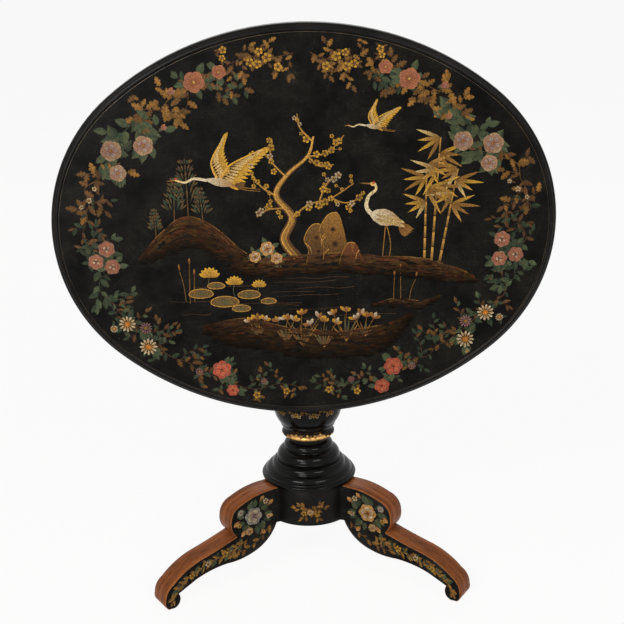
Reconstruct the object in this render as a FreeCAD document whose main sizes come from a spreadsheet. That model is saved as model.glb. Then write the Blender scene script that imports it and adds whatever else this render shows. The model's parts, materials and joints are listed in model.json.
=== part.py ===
import FreeCAD, Part
import math
import os
import re
import Sketcher

# Oval tilt-top pedestal table, shown with its top tilted upright.
# Millimetres, +Z up, the front towards -Y. The origin is on the floor, under the pillar's axis.

Vector = FreeCAD.Vector
Rotation = FreeCAD.Rotation

# Driving dimensions, in millimetres. Each one becomes a named cell of the sheet.
SIZES = {
    # the table as a whole
    "table_height": 735.0,
    "glue_gap": 0.1,
    "cut_overrun": 5.0,
    # oval board and the moulding along its edge
    "top_length": 980.0,
    "top_width": 784.0,
    "board_thickness": 19.0,
    "nose_breadth": 5.5,
    "nose_depth": 7.5,
    "step_depth": 1.8,
    "bead_breadth": 9.0,
    "bead_fall": 1.4,
    "quirk_breadth": 1.4,
    "quirk_depth": 1.8,
    "quirk_wall": 0.4,
    # ring glued under the edge of the board
    "lining_breadth": 55.0,
    "lining_thickness": 10.0,
    "lining_chamfer": 6.0,
    # block on the pillar and the pivots at its front upper edge
    "block_side": 190.0,
    "block_thickness": 44.0,
    "block_chamfer": 8.0,
    "pivot_inset": 14.0,
    "stop_gap": 0.3,
    "pin_diameter": 12.0,
    "pin_grip": 45.0,
    "pin_play": 0.06,
    "pin_head_diameter": 22.0,
    "pin_head_thickness": 3.0,
    # bearers either side of the block
    "bearer_length": 600.0,
    "bearer_breadth": 26.0,
    "bearer_height": 36.0,
    "bearer_end_height": 12.0,
    "bearer_taper": 80.0,
    "bearer_gap": 0.5,
    # turned pillar with its bowl and the tenons at its two ends
    "bowl_radius": 71.5,
    "bowl_height": 98.0,
    "spindle_radius": 54.0,
    "foot_tenon_radius": 20.0,
    "head_tenon_radius": 25.0,
    "wedge_breadth": 48.0,
    "wedge_depth": 30.0,
    "wedge_thick_end": 5.0,
    "wedge_thin_end": 1.5,
    # turned rings threaded on the pillar's foot tenon
    "collar_radius": 55.0,
    "collar_height": 15.5,
    "bell_radius": 69.0,
    "bell_height": 52.5,
    "flange_radius": 98.7,
    "flange_height": 41.0,
    # drum that takes the legs
    "drum_radius": 91.0,
    "drum_height": 80.0,
    "drum_base": 127.0,
    "tongue_depth": 32.0,
    "tongue_back": 36.0,
    "tongue_neck": 26.0,
    "tongue_lip": 4.0,
    "tongue_root": 4.0,
    "tongue_height": 70.0,
    # scroll legs
    "leg_reach": 364.0,
    "leg_thickness": 52.0,
    # iron brace under the drum
    "brace_reach": 86.0,
    "brace_root": 60.0,
    "brace_tip": 20.0,
    "brace_thickness": 3.0,
    # spring catch under the board, behind the block
    "catch_gap": 3.0,
    "catch_length": 32.0,
    "catch_breadth": 44.0,
    "catch_thickness": 2.0,
    "lug_inset": 1.0,
    "lug_thickness": 3.0,
    "lug_breadth": 24.0,
    "lug_height": 15.0,
    "bolt_breadth": 12.0,
    "bolt_depth": 8.0,
    "bolt_drop": 9.0,
    "bolt_reach": 8.0,
    "bolt_bevel": 5.0,
    "bolt_play": 0.2,
    "shoulder_thickness": 2.7,
    "shoulder_breadth": 16.0,
    "shoulder_depth": 12.0,
    "tail_diameter": 5.0,
    "tail_play": 0.08,
    "knob_gap": 0.5,
    "knob_diameter": 15.0,
    "knob_length": 14.0,
    "knob_seat": 8.0,
    "spring_wire": 0.9,
    "spring_diameter": 9.0,
    # striking plate let into the back of the block
    "strike_breadth": 42.0,
    "strike_height": 21.0,
    "strike_thickness": 2.0,
    "strike_margin": 1.0,
    "strike_play": 0.5,
}

SPRING_TURNS = 3
POINTS_PER_TURN = 36
LEG_COUNT = 3
RIGHT_LEG_ANGLE = -30.0
REST_TILT = 90.0
HALF_SQUARE_SHARE = math.sqrt(0.5)
# Way out from the long axis, as shares of its length, where the oval's end arcs meet its side arcs.
OVAL_ACROSS_SHARE = 0.6428
OVAL_UP_SHARE = 0.7660

# Sizes worked out from the driving ones.
DERIVED = {
    "half_length": "(top_length / 2)",
    "half_width": "(top_width / 2)",
    "oval_spread": f"((half_length - half_width) / {OVAL_ACROSS_SHARE + OVAL_UP_SHARE - 1})",
    "end_radius": f"(half_length - oval_spread * {OVAL_ACROSS_SHARE})",
    "side_radius": "(end_radius + oval_spread)",
    "field_inset": "(nose_breadth + bead_breadth)",
    "nose_level": "(board_thickness - quirk_depth - bead_fall - step_depth)",
    "bead_level": "(board_thickness - quirk_depth)",
    "drum_top": "(drum_base + drum_height)",
    "flange_top": "(drum_top + flange_height)",
    "bell_top": "(flange_top + bell_height)",
    "collar_top": "(bell_top + collar_height)",
    "block_top": "(table_height - board_thickness - stop_gap)",
    "block_base": "(block_top - block_thickness)",
    "spindle_height": "(block_base - collar_top - bowl_height)",
    "block_half": "(block_side / 2)",
    "pivot_y": "(pivot_inset - block_half)",
    "pivot_z": "(block_top - pivot_inset)",
    "seat": "(pivot_inset + stop_gap)",
    "centre_back": "(block_half - pivot_inset)",
    "strike_back": "(block_side - pivot_inset)",
    "bore_radius": "(foot_tenon_radius + glue_gap)",
    "front_lug": "(catch_gap + lug_inset)",
    "rear_lug": "(catch_gap + catch_length - lug_inset - lug_thickness)",
    "shoulder_front": "(front_lug + lug_thickness + stop_gap)",
    "shoulder_back": "(shoulder_front + shoulder_thickness)",
    "tail_end": "(catch_gap + catch_length + knob_gap + knob_seat)",
    "strike_base": "(block_top - strike_margin - strike_height)",
    "bolt_level": "(block_top + stop_gap - bolt_drop)",
}

# Left sides of the two bearers, either side of the block.
LEFT_BEARER = "0 - block_half - bearer_gap - bearer_breadth"
RIGHT_BEARER = "block_half + bearer_gap"

# Outlines as shares of the sizes that they follow. A row is the end of a line (across, up),
# or the end of an arc and the arc's middle (across, up, middle across, middle up).
# Bowl: shares of bowl_radius and bowl_height.
BOWL_SHARES = [
    (0.685, 0.0),
    (0.850, 0.175),
    (0.990, 0.480),
    (0.990, 0.700),
    (0.839, 0.960),
    (0.839, 1.0),
]
# Spindle above the bowl: shares of spindle_radius and of the height left under the block.
SPINDLE_SHARES = [
    (0.930, 0.0),
    (0.610, 0.330),
    (0.610, 0.590),
    (0.740, 0.590),
    (0.740, 0.640),
    (0.610, 0.640),
    (0.610, 0.720),
    (0.907, 0.950),
    (1.0, 0.950),
    (1.0, 1.0),
]
# Collar: shares of collar_radius and collar_height.
COLLAR_SHARES = [
    (1.0, 0.0),
    (1.0, 0.620),
    (0.890, 0.620),
    (0.890, 1.0),
]
# Bell: shares of bell_radius and bell_height.
BELL_SHARES = [
    (1.0, 0.0),
    (1.0, 0.100),
    (0.580, 0.780),
    (0.580, 1.0),
]
# Flange: shares of flange_radius and flange_height.
FLANGE_SHARES = [
    (1.0, 0.0),
    (1.0, 0.220),
    (0.700, 0.960),
    (0.700, 1.0),
]
# Scroll leg seen from its side: shares of leg_reach and of the height of the drum's top.
LEG_SHARES = [
    (0.290, 1.0),
    (0.492, 0.920, 0.397, 0.979),
    (0.564, 0.757, 0.546, 0.853),
    (0.5316, 0.582, 0.560, 0.662),
    (0.736, 0.464, 0.626, 0.524),
    (0.946, 0.261, 0.852, 0.384),
    (0.996, 0.106, 0.983, 0.193),
    (0.975, 0.0, 0.994, 0.039),
    (0.937, 0.0),
    (0.909, 0.145, 0.901, 0.072),
    (0.797, 0.2415),
    (0.593, 0.314, 0.698, 0.293),
    (0.385, 0.382, 0.4835, 0.325),
]
# End and middle of the arc that takes the leg's underside up to the drum.
LEG_ROOT_SHARE = 0.264
LEG_ROOT_MIDDLE_SHARES = (0.313, 0.478)
# Knob: shares of its radius and length.
KNOB_SHARES = [
    (1.0, 0.0),
    (1.0, 1.0),
]

document = FreeCAD.newDocument("TiltTopTable")
sheet = document.addObject("Spreadsheet::Sheet", "Sizes")
for row, (name, length) in enumerate(SIZES.items(), start=1):
    sheet.set(f"A{row}", name)
    sheet.set(f"B{row}", str(length))
    sheet.setAlias(f"B{row}", name)
document.recompute()

WORD = re.compile(r"[a-z][a-z_]*")


def expand(text):
    """Write derived names out until only the sheet's own names are left."""
    while any(word in DERIVED for word in WORD.findall(text)):
        text = WORD.sub(lambda found: DERIVED.get(found.group(0), found.group(0)), text)
    return text


def bind(text):
    """The expression as the document's objects read it from the sheet."""
    return WORD.sub(lambda found: "Sizes." + found.group(0), expand(text))


def value(text):
    """The expression's number."""
    return float(sheet.evalExpression(expand(text)))


def scaled(shares, across, up, base="0"):
    """Rows of shares as expressions of the two sizes that they follow."""
    rows = []
    for shares_row in shares:
        row = []
        for column, share in enumerate(shares_row):
            row.append(f"{base} + {up} * {share}" if column % 2 else f"{across} * {share}")
        rows.append(tuple(row))
    return rows


def new_body(label):
    """An empty body under its own label."""
    body = document.addObject("PartDesign::Body", label)
    body.Label = label
    return body


def origin_feature(body, role):
    """One of the body's own planes or axes."""
    return next(feature for feature in body.Origin.OriginFeatures if feature.Role == role)


def new_sketch(body, role, out="0"):
    """A sketch on one of the body's planes, moved out along the plane's normal."""
    sketch = body.newObject("Sketcher::SketchObject", "Sketch")
    sketch.AttachmentSupport = [(origin_feature(body, role), "")]
    sketch.MapMode = "FlatFace"
    if out != "0":
        sketch.setExpression("AttachmentOffset.Base.z", bind(out))
    return sketch


def tie(sketch, kind, target, text):
    """Hold a point of the sketch, or a circle's diameter, at a size of the sheet."""
    index = sketch.addConstraint(Sketcher.Constraint(kind, *target, value(text)))
    sketch.setExpression(f"Constraints[{index}]", bind(text))


def tie_point(sketch, curve, end, across, up):
    """Hold a point at a place given by two expressions."""
    for kind, axis, text in (("DistanceX", -2, across), ("DistanceY", -1, up)):
        if value(text) == 0:
            sketch.addConstraint(Sketcher.Constraint("PointOnObject", curve, end, axis))
        else:
            tie(sketch, kind, (-1, 1, curve, end), text)


def draw(sketch, rows):
    """Draw a closed outline of lines and arcs, tied to the sheet at every corner."""
    corners = [Vector(value(row[0]), value(row[1])) for row in rows]
    curves = []
    for index, row in enumerate(rows):
        if len(row) == 2:
            curves.append(Part.LineSegment(corners[index - 1], corners[index]))
        else:
            middle = Vector(value(row[2]), value(row[3]))
            curves.append(Part.Arc(corners[index - 1], middle, corners[index]))
    first = sketch.GeometryCount
    sketch.addGeometry(curves, False)

    def end_at(curve, corner):
        return min((1, 2), key=lambda end: sketch.getPoint(curve, end).distanceToPoint(corner))

    ends = []
    for index, corner in enumerate(corners):
        curve = first + index
        following = first + (index + 1) % len(rows)
        ends.append((curve, end_at(curve, corner), following, end_at(following, corner)))
    for index, row in enumerate(rows):
        curve, end, following, start = ends[index]
        sketch.addConstraint(Sketcher.Constraint("Coincident", curve, end, following, start))
        tie_point(sketch, curve, end, row[0], row[1])
        if len(row) == 4:
            middle = sketch.addGeometry(Part.Point(Vector(value(row[2]), value(row[3]))), True)
            tie_point(sketch, middle, 1, row[2], row[3])
            sketch.addConstraint(Sketcher.Constraint("PointOnObject", middle, 1, curve))


def draw_circle(sketch, diameter, across="0", up="0"):
    """Draw a circle at a place given by two expressions."""
    middle = Vector(value(across), value(up))
    circle = sketch.addGeometry(Part.Circle(middle, Vector(0, 0, 1), value(diameter) / 2), False)
    tie(sketch, "Diameter", (circle,), diameter)
    tie_point(sketch, circle, 3, across, up)


def draw_oval(sketch, inset="0"):
    """Draw the top's four-arc oval, or one parallel to it and set in from it."""
    across = f"((side_radius - ({inset})) * {OVAL_ACROSS_SHARE})"
    up = f"((end_radius - ({inset})) * {OVAL_UP_SHARE})"
    length = f"(half_length - ({inset}))"
    width = f"(half_width - ({inset}))"
    draw(sketch, [
        (across, up, length, "0"),
        (f"0 - {across}", up, "0", width),
        (f"0 - {across}", f"0 - {up}", f"0 - {length}", "0"),
        (across, f"0 - {up}", "0", f"0 - {width}"),
    ])


def draw_box(sketch, left, low, right, high):
    """Draw a rectangle by its sides."""
    draw(sketch, [(left, low), (right, low), (right, high), (left, high)])


def pad(body, sketch, length, both_ways=False):
    """Raise a sketch into a solid."""
    feature = body.newObject("PartDesign::Pad", "Pad")
    feature.Profile = sketch
    feature.SideType = "Symmetric" if both_ways else "One side"
    feature.setExpression("Length", bind(length))
    document.recompute()
    return feature


def pocket(body, sketch, depth=None):
    """Cut a sketch to an equal depth on both sides of its plane, or right through."""
    before = body.Shape.Volume
    feature = body.newObject("PartDesign::Pocket", "Pocket")
    feature.Profile = sketch
    feature.SideType = "Symmetric"
    if depth is None:
        feature.Type = "ThroughAll"
    else:
        feature.setExpression("Length", bind(f"2 * ({depth})"))
    document.recompute()
    if not body.Shape.Volume < before:
        raise RuntimeError(f"{body.Label}: a pocket cut nothing")
    return feature


def chamfer(body, feature, level, breadth, depth):
    """Take the outer corner off at one level of a feature: so far in, and so far up or down."""
    height = value(level)
    edges = []
    for number, edge in enumerate(feature.Shape.Edges, start=1):
        if max(abs(edge.BoundBox.ZMin - height), abs(edge.BoundBox.ZMax - height)) < value("glue_gap"):
            edges.append(f"Edge{number}")
    cut = body.newObject("PartDesign::Chamfer", "Chamfer")
    cut.Base = (feature, edges)
    cut.ChamferType = "Two distances"
    cut.setExpression("Size", bind(depth))
    cut.setExpression("Size2", bind(breadth))
    document.recompute()
    return cut


def turn(body, rows):
    """Turn an outline about the body's upright axis."""
    sketch = new_sketch(body, "XZ_Plane")
    draw(sketch, rows)
    feature = body.newObject("PartDesign::Revolution", "Turning")
    feature.Profile = sketch
    feature.ReferenceAxis = (sketch, ["V_Axis"])
    feature.Angle = 360.0
    document.recompute()
    return feature


def repeat_round(body, feature, count):
    """Repeat a feature about the body's upright axis."""
    pattern = body.newObject("PartDesign::PolarPattern", "Pattern")
    pattern.Originals = [feature]
    pattern.Axis = (origin_feature(body, "Z_Axis"), [""])
    pattern.Angle = 360.0
    pattern.Occurrences = count
    body.Tip = pattern
    document.recompute()


def place(item, across="0", back="0", up="0", turned=Rotation()):
    """Put an item at a place given by expressions."""
    item.Placement = FreeCAD.Placement(Vector(), turned)
    for letter, text in zip("xyz", (across, back, up)):
        item.setExpression(f"Placement.Base.{letter}", bind(text))


def place_on_top(item, across="0", back="0", up="0"):
    """Put an item on the tilting top: across, back and up from the pivot with the top level."""
    turned = Rotation(Vector(1, 0, 0), REST_TILT)
    place(item, across, f"pivot_y - ({up})", f"pivot_z + ({back})", turned)


def make_top_board():
    """Oval board in three levels: a rounded nose, a sloping bead and the field with its quirk."""
    body = new_body("top_board")
    levels = [
        ("0", "0", "nose_level", "nose_breadth", "nose_depth"),
        ("nose_breadth", "nose_level", "bead_level", "bead_breadth", "bead_fall"),
        ("field_inset", "bead_level", "board_thickness", "quirk_breadth", "quirk_depth - quirk_wall"),
    ]
    for inset, low, high, breadth, depth in levels:
        outline = new_sketch(body, "XY_Plane", low)
        draw_oval(outline, inset)
        level = pad(body, outline, f"{high} - {low}")
        chamfer(body, level, high, breadth, depth)
    place_on_top(body, "0", "centre_back", "seat")
    return body


def make_top_lining_ring():
    """Ring under the board's edge, its lower outer corner taken off, with room for bearers that reach it."""
    body = new_body("top_lining_ring")
    outline = new_sketch(body, "XY_Plane", "0 - lining_thickness")
    draw_oval(outline)
    slab = pad(body, outline, "lining_thickness")
    chamfer(body, slab, "0 - lining_thickness", "lining_chamfer", "lining_chamfer")
    half = "(bearer_length / 2 + bearer_gap)"
    for left in (LEFT_BEARER, RIGHT_BEARER):
        room = new_sketch(body, "XY_Plane")
        draw_box(room, f"{left} - bearer_gap", f"0 - {half}", f"{left} + bearer_breadth + bearer_gap", half)
        pocket(body, room)
    opening = new_sketch(body, "XY_Plane")
    draw_oval(opening, "lining_breadth")
    pocket(body, opening)
    place_on_top(body, "0", "centre_back", "seat")
    return body


def make_bearer(label, across):
    """Batten with tapered ends and a hole for its pivot pin."""
    body = new_body(label)
    side = new_sketch(body, "YZ_Plane")
    half = "bearer_length / 2"
    draw(side, [
        (f"0 - {half}", "0"),
        (f"0 - {half}", "0 - bearer_end_height"),
        (f"bearer_taper - {half}", "0 - bearer_height"),
        (f"{half} - bearer_taper", "0 - bearer_height"),
        (half, "0 - bearer_end_height"),
        (half, "0"),
    ])
    pad(body, side, "bearer_breadth")
    pivot = new_sketch(body, "YZ_Plane")
    draw_circle(pivot, "pin_diameter + 2 * glue_gap", "0 - centre_back", "0 - seat")
    pocket(body, pivot)
    place_on_top(body, across, "centre_back", "seat")
    return body


def make_pivot_pin(label, across, outward):
    """Headed pin, turned about its own axis and laid across the table."""
    body = new_body(label)
    shank = "(pin_grip + bearer_gap + bearer_breadth)"
    turn(body, [
        ("0", "0"),
        ("pin_diameter / 2", "0"),
        ("pin_diameter / 2", shank),
        ("pin_head_diameter / 2", shank),
        ("pin_head_diameter / 2", f"{shank} + pin_head_thickness"),
        ("0", f"{shank} + pin_head_thickness"),
    ])
    place(body, across, "pivot_y", "pivot_z", Rotation(Vector(0, 0, 1), Vector(outward, 0, 0)))
    return body


def draw_bolt_opening(sketch, level):
    """Opening that the bolt's nose enters, the same in the block and the striking plate."""
    half_across = "(bolt_breadth / 2 + strike_play)"
    half_up = "(bolt_depth / 2 + strike_play)"
    draw_box(sketch, f"0 - {half_across}", f"{level} - {half_up}", half_across, f"{level} + {half_up}")


def make_pillar_block():
    """Square block, its front upper edge rounded about the pivots, with its mortises."""
    body = new_body("pillar_block")
    side = new_sketch(body, "YZ_Plane")
    bend = f"pivot_inset * {HALF_SQUARE_SHARE}"
    draw(side, [
        ("0 - block_half", "0"),
        ("block_half", "0"),
        ("block_half", "block_thickness"),
        ("pivot_y", "block_thickness"),
        ("0 - block_half", "block_thickness - pivot_inset",
         f"pivot_y - {bend}", f"block_thickness - pivot_inset + {bend}"),
    ])
    block = pad(body, side, "block_side", both_ways=True)
    chamfer(body, block, "0", "block_chamfer", "block_chamfer")
    mortise = new_sketch(body, "XY_Plane")
    draw_circle(mortise, "2 * (head_tenon_radius + glue_gap)")
    pocket(body, mortise)
    for end in ("block_half", "0 - block_half"):
        bore = new_sketch(body, "YZ_Plane", end)
        draw_circle(bore, "pin_diameter + 2 * pin_play", "pivot_y", "block_thickness - pivot_inset")
        pocket(body, bore, "pin_grip + glue_gap")
    recess = new_sketch(body, "XZ_Plane", "0 - block_half")
    low = "(block_thickness - strike_margin - strike_height)"
    draw_box(recess, "0 - strike_breadth / 2", low, "strike_breadth / 2", f"{low} + strike_height")
    pocket(body, recess, "strike_thickness")
    keep = new_sketch(body, "XZ_Plane", "0 - block_half")
    draw_bolt_opening(keep, "bolt_level - block_base")
    pocket(body, keep, "bolt_reach + strike_thickness")
    place(body, "0", "0", "block_base")
    return body


def make_strike_plate():
    """Brass plate let into the back of the block."""
    body = new_body("strike_plate")
    face = new_sketch(body, "XZ_Plane")
    draw_box(face, "0 - strike_breadth / 2", "0", "strike_breadth / 2", "strike_height")
    pad(body, face, "strike_thickness")
    hole = new_sketch(body, "XZ_Plane")
    draw_bolt_opening(hole, "bolt_level - strike_base")
    pocket(body, hole)
    place(body, "0", "block_half", "strike_base")
    return body


def draw_wedge(sketch, top):
    """End view of the wedge, the same for the wedge and for the tenon's kerf."""
    draw(sketch, [
        ("0 - wedge_thick_end / 2", top),
        ("0 - wedge_thin_end / 2", f"{top} - wedge_depth"),
        ("wedge_thin_end / 2", f"{top} - wedge_depth"),
        ("wedge_thick_end / 2", top),
    ])


def make_pillar():
    """Turned pillar: foot tenon, bowl, spindle and a split head tenon."""
    body = new_body("pillar")
    top = "(block_top - collar_top)"
    rows = [("0", "drum_base - collar_top"), ("foot_tenon_radius", "drum_base - collar_top")]
    rows += [("foot_tenon_radius", "0")]
    rows += scaled(BOWL_SHARES, "bowl_radius", "bowl_height")
    rows += scaled(SPINDLE_SHARES, "spindle_radius", "spindle_height", "bowl_height")
    rows += [("head_tenon_radius", f"{top} - block_thickness"), ("head_tenon_radius", top), ("0", top)]
    turn(body, rows)
    kerf = new_sketch(body, "YZ_Plane")
    draw_wedge(kerf, top)
    pocket(body, kerf)
    place(body, "0", "0", "collar_top")
    return body


def make_tenon_wedge():
    """Wedge driven into the pillar's head tenon."""
    body = new_body("tenon_wedge")
    end = new_sketch(body, "YZ_Plane")
    draw_wedge(end, "0")
    pad(body, end, "wedge_breadth", both_ways=True)
    place(body, "0", "0", "block_top")
    return body


def make_turned_ring(label, shares, radius, height, base):
    """Turned ring threaded on the pillar's foot tenon."""
    body = new_body(label)
    rows = [("bore_radius", height), ("bore_radius", "0")]
    rows += scaled(shares, radius, height)
    turn(body, rows)
    place(body, "0", "0", base)
    return body


def draw_tongue(sketch, spare, outer):
    """Plan of a leg's dovetail tongue, made larger all round by the spare."""
    back = f"drum_radius - tongue_depth - {spare}"
    lip = "drum_radius - tongue_lip"
    half_back = f"(tongue_back / 2 + {spare})"
    half_neck = f"(tongue_neck / 2 + {spare})"
    draw(sketch, [
        (back, f"0 - {half_back}"),
        (lip, f"0 - {half_neck}"),
        (outer, f"0 - {half_neck}"),
        (outer, half_neck),
        (lip, half_neck),
        (back, half_back),
    ])


def make_drum():
    """Round hub with three dovetail slots open at its foot."""
    body = new_body("drum")
    plan = new_sketch(body, "XY_Plane")
    draw_circle(plan, "2 * drum_radius")
    pad(body, plan, "drum_height")
    bore = new_sketch(body, "XY_Plane")
    draw_circle(bore, "2 * bore_radius")
    pocket(body, bore)
    slot = new_sketch(body, "XY_Plane")
    draw_tongue(slot, "glue_gap", "drum_radius + cut_overrun")
    repeat_round(body, pocket(body, slot, "tongue_height + glue_gap"), LEG_COUNT)
    place(body, "0", "0", "drum_base", Rotation(Vector(0, 0, 1), RIGHT_LEG_ANGLE))
    return body


def make_leg(label, angle):
    """Flat sawn scroll leg with a hollowed root and a dovetail tongue."""
    body = new_body(label)
    side = new_sketch(body, "XZ_Plane")
    middle_across, middle_up = LEG_ROOT_MIDDLE_SHARES
    rows = [("drum_radius / 2", "drum_top")]
    rows += scaled(LEG_SHARES, "leg_reach", "drum_top")
    rows += [
        (f"leg_reach * {LEG_ROOT_SHARE}", "drum_base",
         f"leg_reach * {middle_across}", f"drum_top * {middle_up}"),
        ("drum_radius / 2", "drum_base"),
    ]
    draw(side, rows)
    pad(body, side, "leg_thickness", both_ways=True)
    hollow = new_sketch(body, "XY_Plane")
    draw_circle(hollow, "2 * (drum_radius + glue_gap)")
    pocket(body, hollow)
    tongue = new_sketch(body, "XY_Plane", "drum_base")
    draw_tongue(tongue, "0", "drum_radius + tongue_root")
    pad(body, tongue, "tongue_height")
    place(body, "0", "0", "0", Rotation(Vector(0, 0, 1), angle))
    return body


def make_brace_plate():
    """Three-armed iron plate that closes the dovetail slots."""
    body = new_body("brace_plate")
    arm = new_sketch(body, "XY_Plane")
    draw(arm, [
        ("0", "0 - brace_root / 2"),
        ("brace_reach", "0 - brace_tip / 2"),
        ("brace_reach", "brace_tip / 2"),
        ("0", "brace_root / 2"),
    ])
    repeat_round(body, pad(body, arm, "brace_thickness"), LEG_COUNT)
    place(body, "0", "0", "drum_base - brace_thickness", Rotation(Vector(0, 0, 1), RIGHT_LEG_ANGLE))
    return body


def make_catch_plate():
    """Plate with two lugs: the bolt slides in the front one, its tail in the rear one."""
    body = new_body("catch_plate")
    plan = new_sketch(body, "XY_Plane", "0 - catch_thickness")
    draw_box(plan, "0 - catch_breadth / 2", "catch_gap", "catch_breadth / 2", "catch_gap + catch_length")
    pad(body, plan, "catch_thickness")
    for lug in ("front_lug", "rear_lug"):
        foot = new_sketch(body, "XY_Plane", "0 - catch_thickness - lug_height")
        draw_box(foot, "0 - lug_breadth / 2", lug, "lug_breadth / 2", f"{lug} + lug_thickness")
        pad(body, foot, "lug_height + catch_thickness / 2")
    half_across = "(bolt_breadth / 2 + bolt_play)"
    half_up = "(bolt_depth / 2 + bolt_play)"
    way = new_sketch(body, "XZ_Plane", "0 - front_lug")
    draw_box(way, f"0 - {half_across}", f"0 - bolt_drop - {half_up}",
             half_across, f"{half_up} - bolt_drop")
    pocket(body, way, "lug_thickness + stop_gap")
    eye = new_sketch(body, "XZ_Plane", "0 - rear_lug")
    draw_circle(eye, "tail_diameter + 2 * tail_play", "0", "0 - bolt_drop")
    pocket(body, eye, "lug_thickness + stop_gap")
    place_on_top(body, "0", "strike_back", "seat")
    return body


def make_catch_bolt():
    """Bolt with a bevelled nose, a shoulder for the spring and a round tail."""
    body = new_body("catch_bolt")
    side = new_sketch(body, "YZ_Plane")
    half = "bolt_depth / 2"
    draw(side, [
        ("shoulder_back", half),
        ("0 - bolt_reach", half),
        ("0 - bolt_reach", f"bolt_bevel - {half}"),
        ("bolt_bevel - bolt_reach", f"0 - {half}"),
        ("shoulder_back", f"0 - {half}"),
    ])
    pad(body, side, "bolt_breadth", both_ways=True)
    shoulder = new_sketch(body, "XZ_Plane", "0 - shoulder_back")
    draw_box(shoulder, "0 - shoulder_breadth / 2", "0 - shoulder_depth / 2",
             "shoulder_breadth / 2", "shoulder_depth / 2")
    pad(body, shoulder, "shoulder_thickness")
    tail = new_sketch(body, "XZ_Plane", "0 - tail_end")
    draw_circle(tail, "tail_diameter")
    pad(body, tail, "tail_end - shoulder_back + shoulder_thickness / 2")
    place_on_top(body, "0", "strike_back", "seat - bolt_drop")
    return body


def make_catch_knob():
    """Small turned pull with a blind hole for the bolt's tail."""
    body = new_body("catch_knob")
    hole = "(tail_diameter / 2 + glue_gap)"
    rows = [("0", "knob_seat"), (hole, "knob_seat"), (hole, "0")]
    rows += scaled(KNOB_SHARES, "knob_diameter / 2", "knob_length")
    rows += [("0", "knob_length")]
    turn(body, rows)
    place(body, "0", "pivot_y - seat + bolt_drop", "pivot_z + strike_back + tail_end - knob_seat")
    return body


def biarc(start, start_way, end, end_way):
    """Two arcs that join two points smoothly, each as start, middle and end."""
    span = end - start
    square = 2 * (start_way.dot(end_way) - 1)
    linear = -2 * span.dot(start_way + end_way)
    root = math.sqrt(linear * linear - 4 * square * span.dot(span))
    reach = (-linear - root) / (2 * square)
    first_corner = start + start_way * reach
    last_corner = end - end_way * reach
    joint = (first_corner + last_corner) * 0.5
    arcs = []
    for near, corner, far in ((start, first_corner, joint), (joint, last_corner, end)):
        chord_middle = (near + far) * 0.5
        half_chord = (far - near).Length / 2
        rise = half_chord * math.tan(math.acos(half_chord / reach) / 2)
        toward = (corner - chord_middle).normalize()
        arcs.append((near, chord_middle + toward * rise, far))
    return arcs


def least_gap(path, wire):
    """Least space between two turns of a coil's wire, measured on points along it."""
    points = path.discretize(Number=SPRING_TURNS * POINTS_PER_TURN + 1)
    nearest = min(
        one.distanceToPoint(other)
        for index, one in enumerate(points) for other in points[index + POINTS_PER_TURN // 2:]
    )
    return nearest - wire


def make_catch_spring():
    """Square-wire coil spring between the bolt's shoulder and the rear lug, round the bolt's tail."""
    wire = value("spring_wire")
    radius = (value("spring_diameter") - wire) / 2
    low = value("shoulder_back + spring_wire / 2 + glue_gap")
    rise = value("rear_lug - spring_wire / 2 - glue_gap") - low
    drop = value("0 - bolt_drop")
    climb = rise / (2 * math.pi * SPRING_TURNS)

    def on_coil(angle):
        return Vector(radius * math.cos(angle), low + climb * angle, drop + radius * math.sin(angle))

    def way(angle):
        return Vector(-radius * math.sin(angle), climb, radius * math.cos(angle)).normalize()

    arcs = []
    for half_turn in range(2 * SPRING_TURNS):
        start = half_turn * math.pi
        end = start + math.pi
        arcs += biarc(on_coil(start), way(start), on_coil(end), way(end))
    path = Part.Wire([Part.Arc(*points).toShape() for points in arcs])
    outward = Vector(1, 0, 0)
    along = way(0).cross(outward).normalize()
    corners = [
        on_coil(0) + outward * (wire / 2 * across) + along * (wire / 2 * up)
        for across, up in ((-1, -1), (1, -1), (1, 1), (-1, 1), (-1, -1))
    ]
    section = Part.makePolygon(corners)
    print("least gap between the spring's turns:", round(least_gap(path, wire), 2), "mm")
    item = document.addObject("Part::Feature", "catch_spring")
    item.Label = "catch_spring"
    item.Shape = path.makePipeShell([section], True, False)
    place_on_top(item, "0", "strike_back", "seat")
    return item


nodes = [
    make_top_board(),
    make_top_lining_ring(),
    make_bearer("bearer_left", LEFT_BEARER),
    make_bearer("bearer_right", RIGHT_BEARER),
    make_pivot_pin("pivot_pin_left", "pin_grip - block_half", -1),
    make_pivot_pin("pivot_pin_right", "block_half - pin_grip", 1),
    make_catch_plate(),
    make_catch_bolt(),
    make_catch_knob(),
    make_catch_spring(),
    make_pillar_block(),
    make_tenon_wedge(),
    make_strike_plate(),
    make_pillar(),
    make_turned_ring("gilt_collar", COLLAR_SHARES, "collar_radius", "collar_height", "bell_top"),
    make_turned_ring("bell_moulding", BELL_SHARES, "bell_radius", "bell_height", "flange_top"),
    make_turned_ring("flange_moulding", FLANGE_SHARES, "flange_radius", "flange_height", "drum_top"),
    make_drum(),
    make_leg("leg_right", RIGHT_LEG_ANGLE),
    make_leg("leg_rear", RIGHT_LEG_ANGLE + 360.0 / LEG_COUNT),
    make_leg("leg_left", RIGHT_LEG_ANGLE - 360.0 / LEG_COUNT),
    make_brace_plate(),
]
document.recompute()

for item in document.Objects:
    if "Invalid" in item.State or "Error" in item.State:
        raise RuntimeError(f"{item.Label} did not build")
os.makedirs("parts", exist_ok=True)
for node in nodes:
    if node.Shape.isNull() or not node.Shape.isValid():
        raise RuntimeError(f"{node.Label} has no sound shape")
    node.Shape.exportStep(f"parts/{node.Label}.step")
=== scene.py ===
"""Looks of an oval tilt-top pedestal table: black japanning, painted flowers, gilding and scroll legs."""

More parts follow.
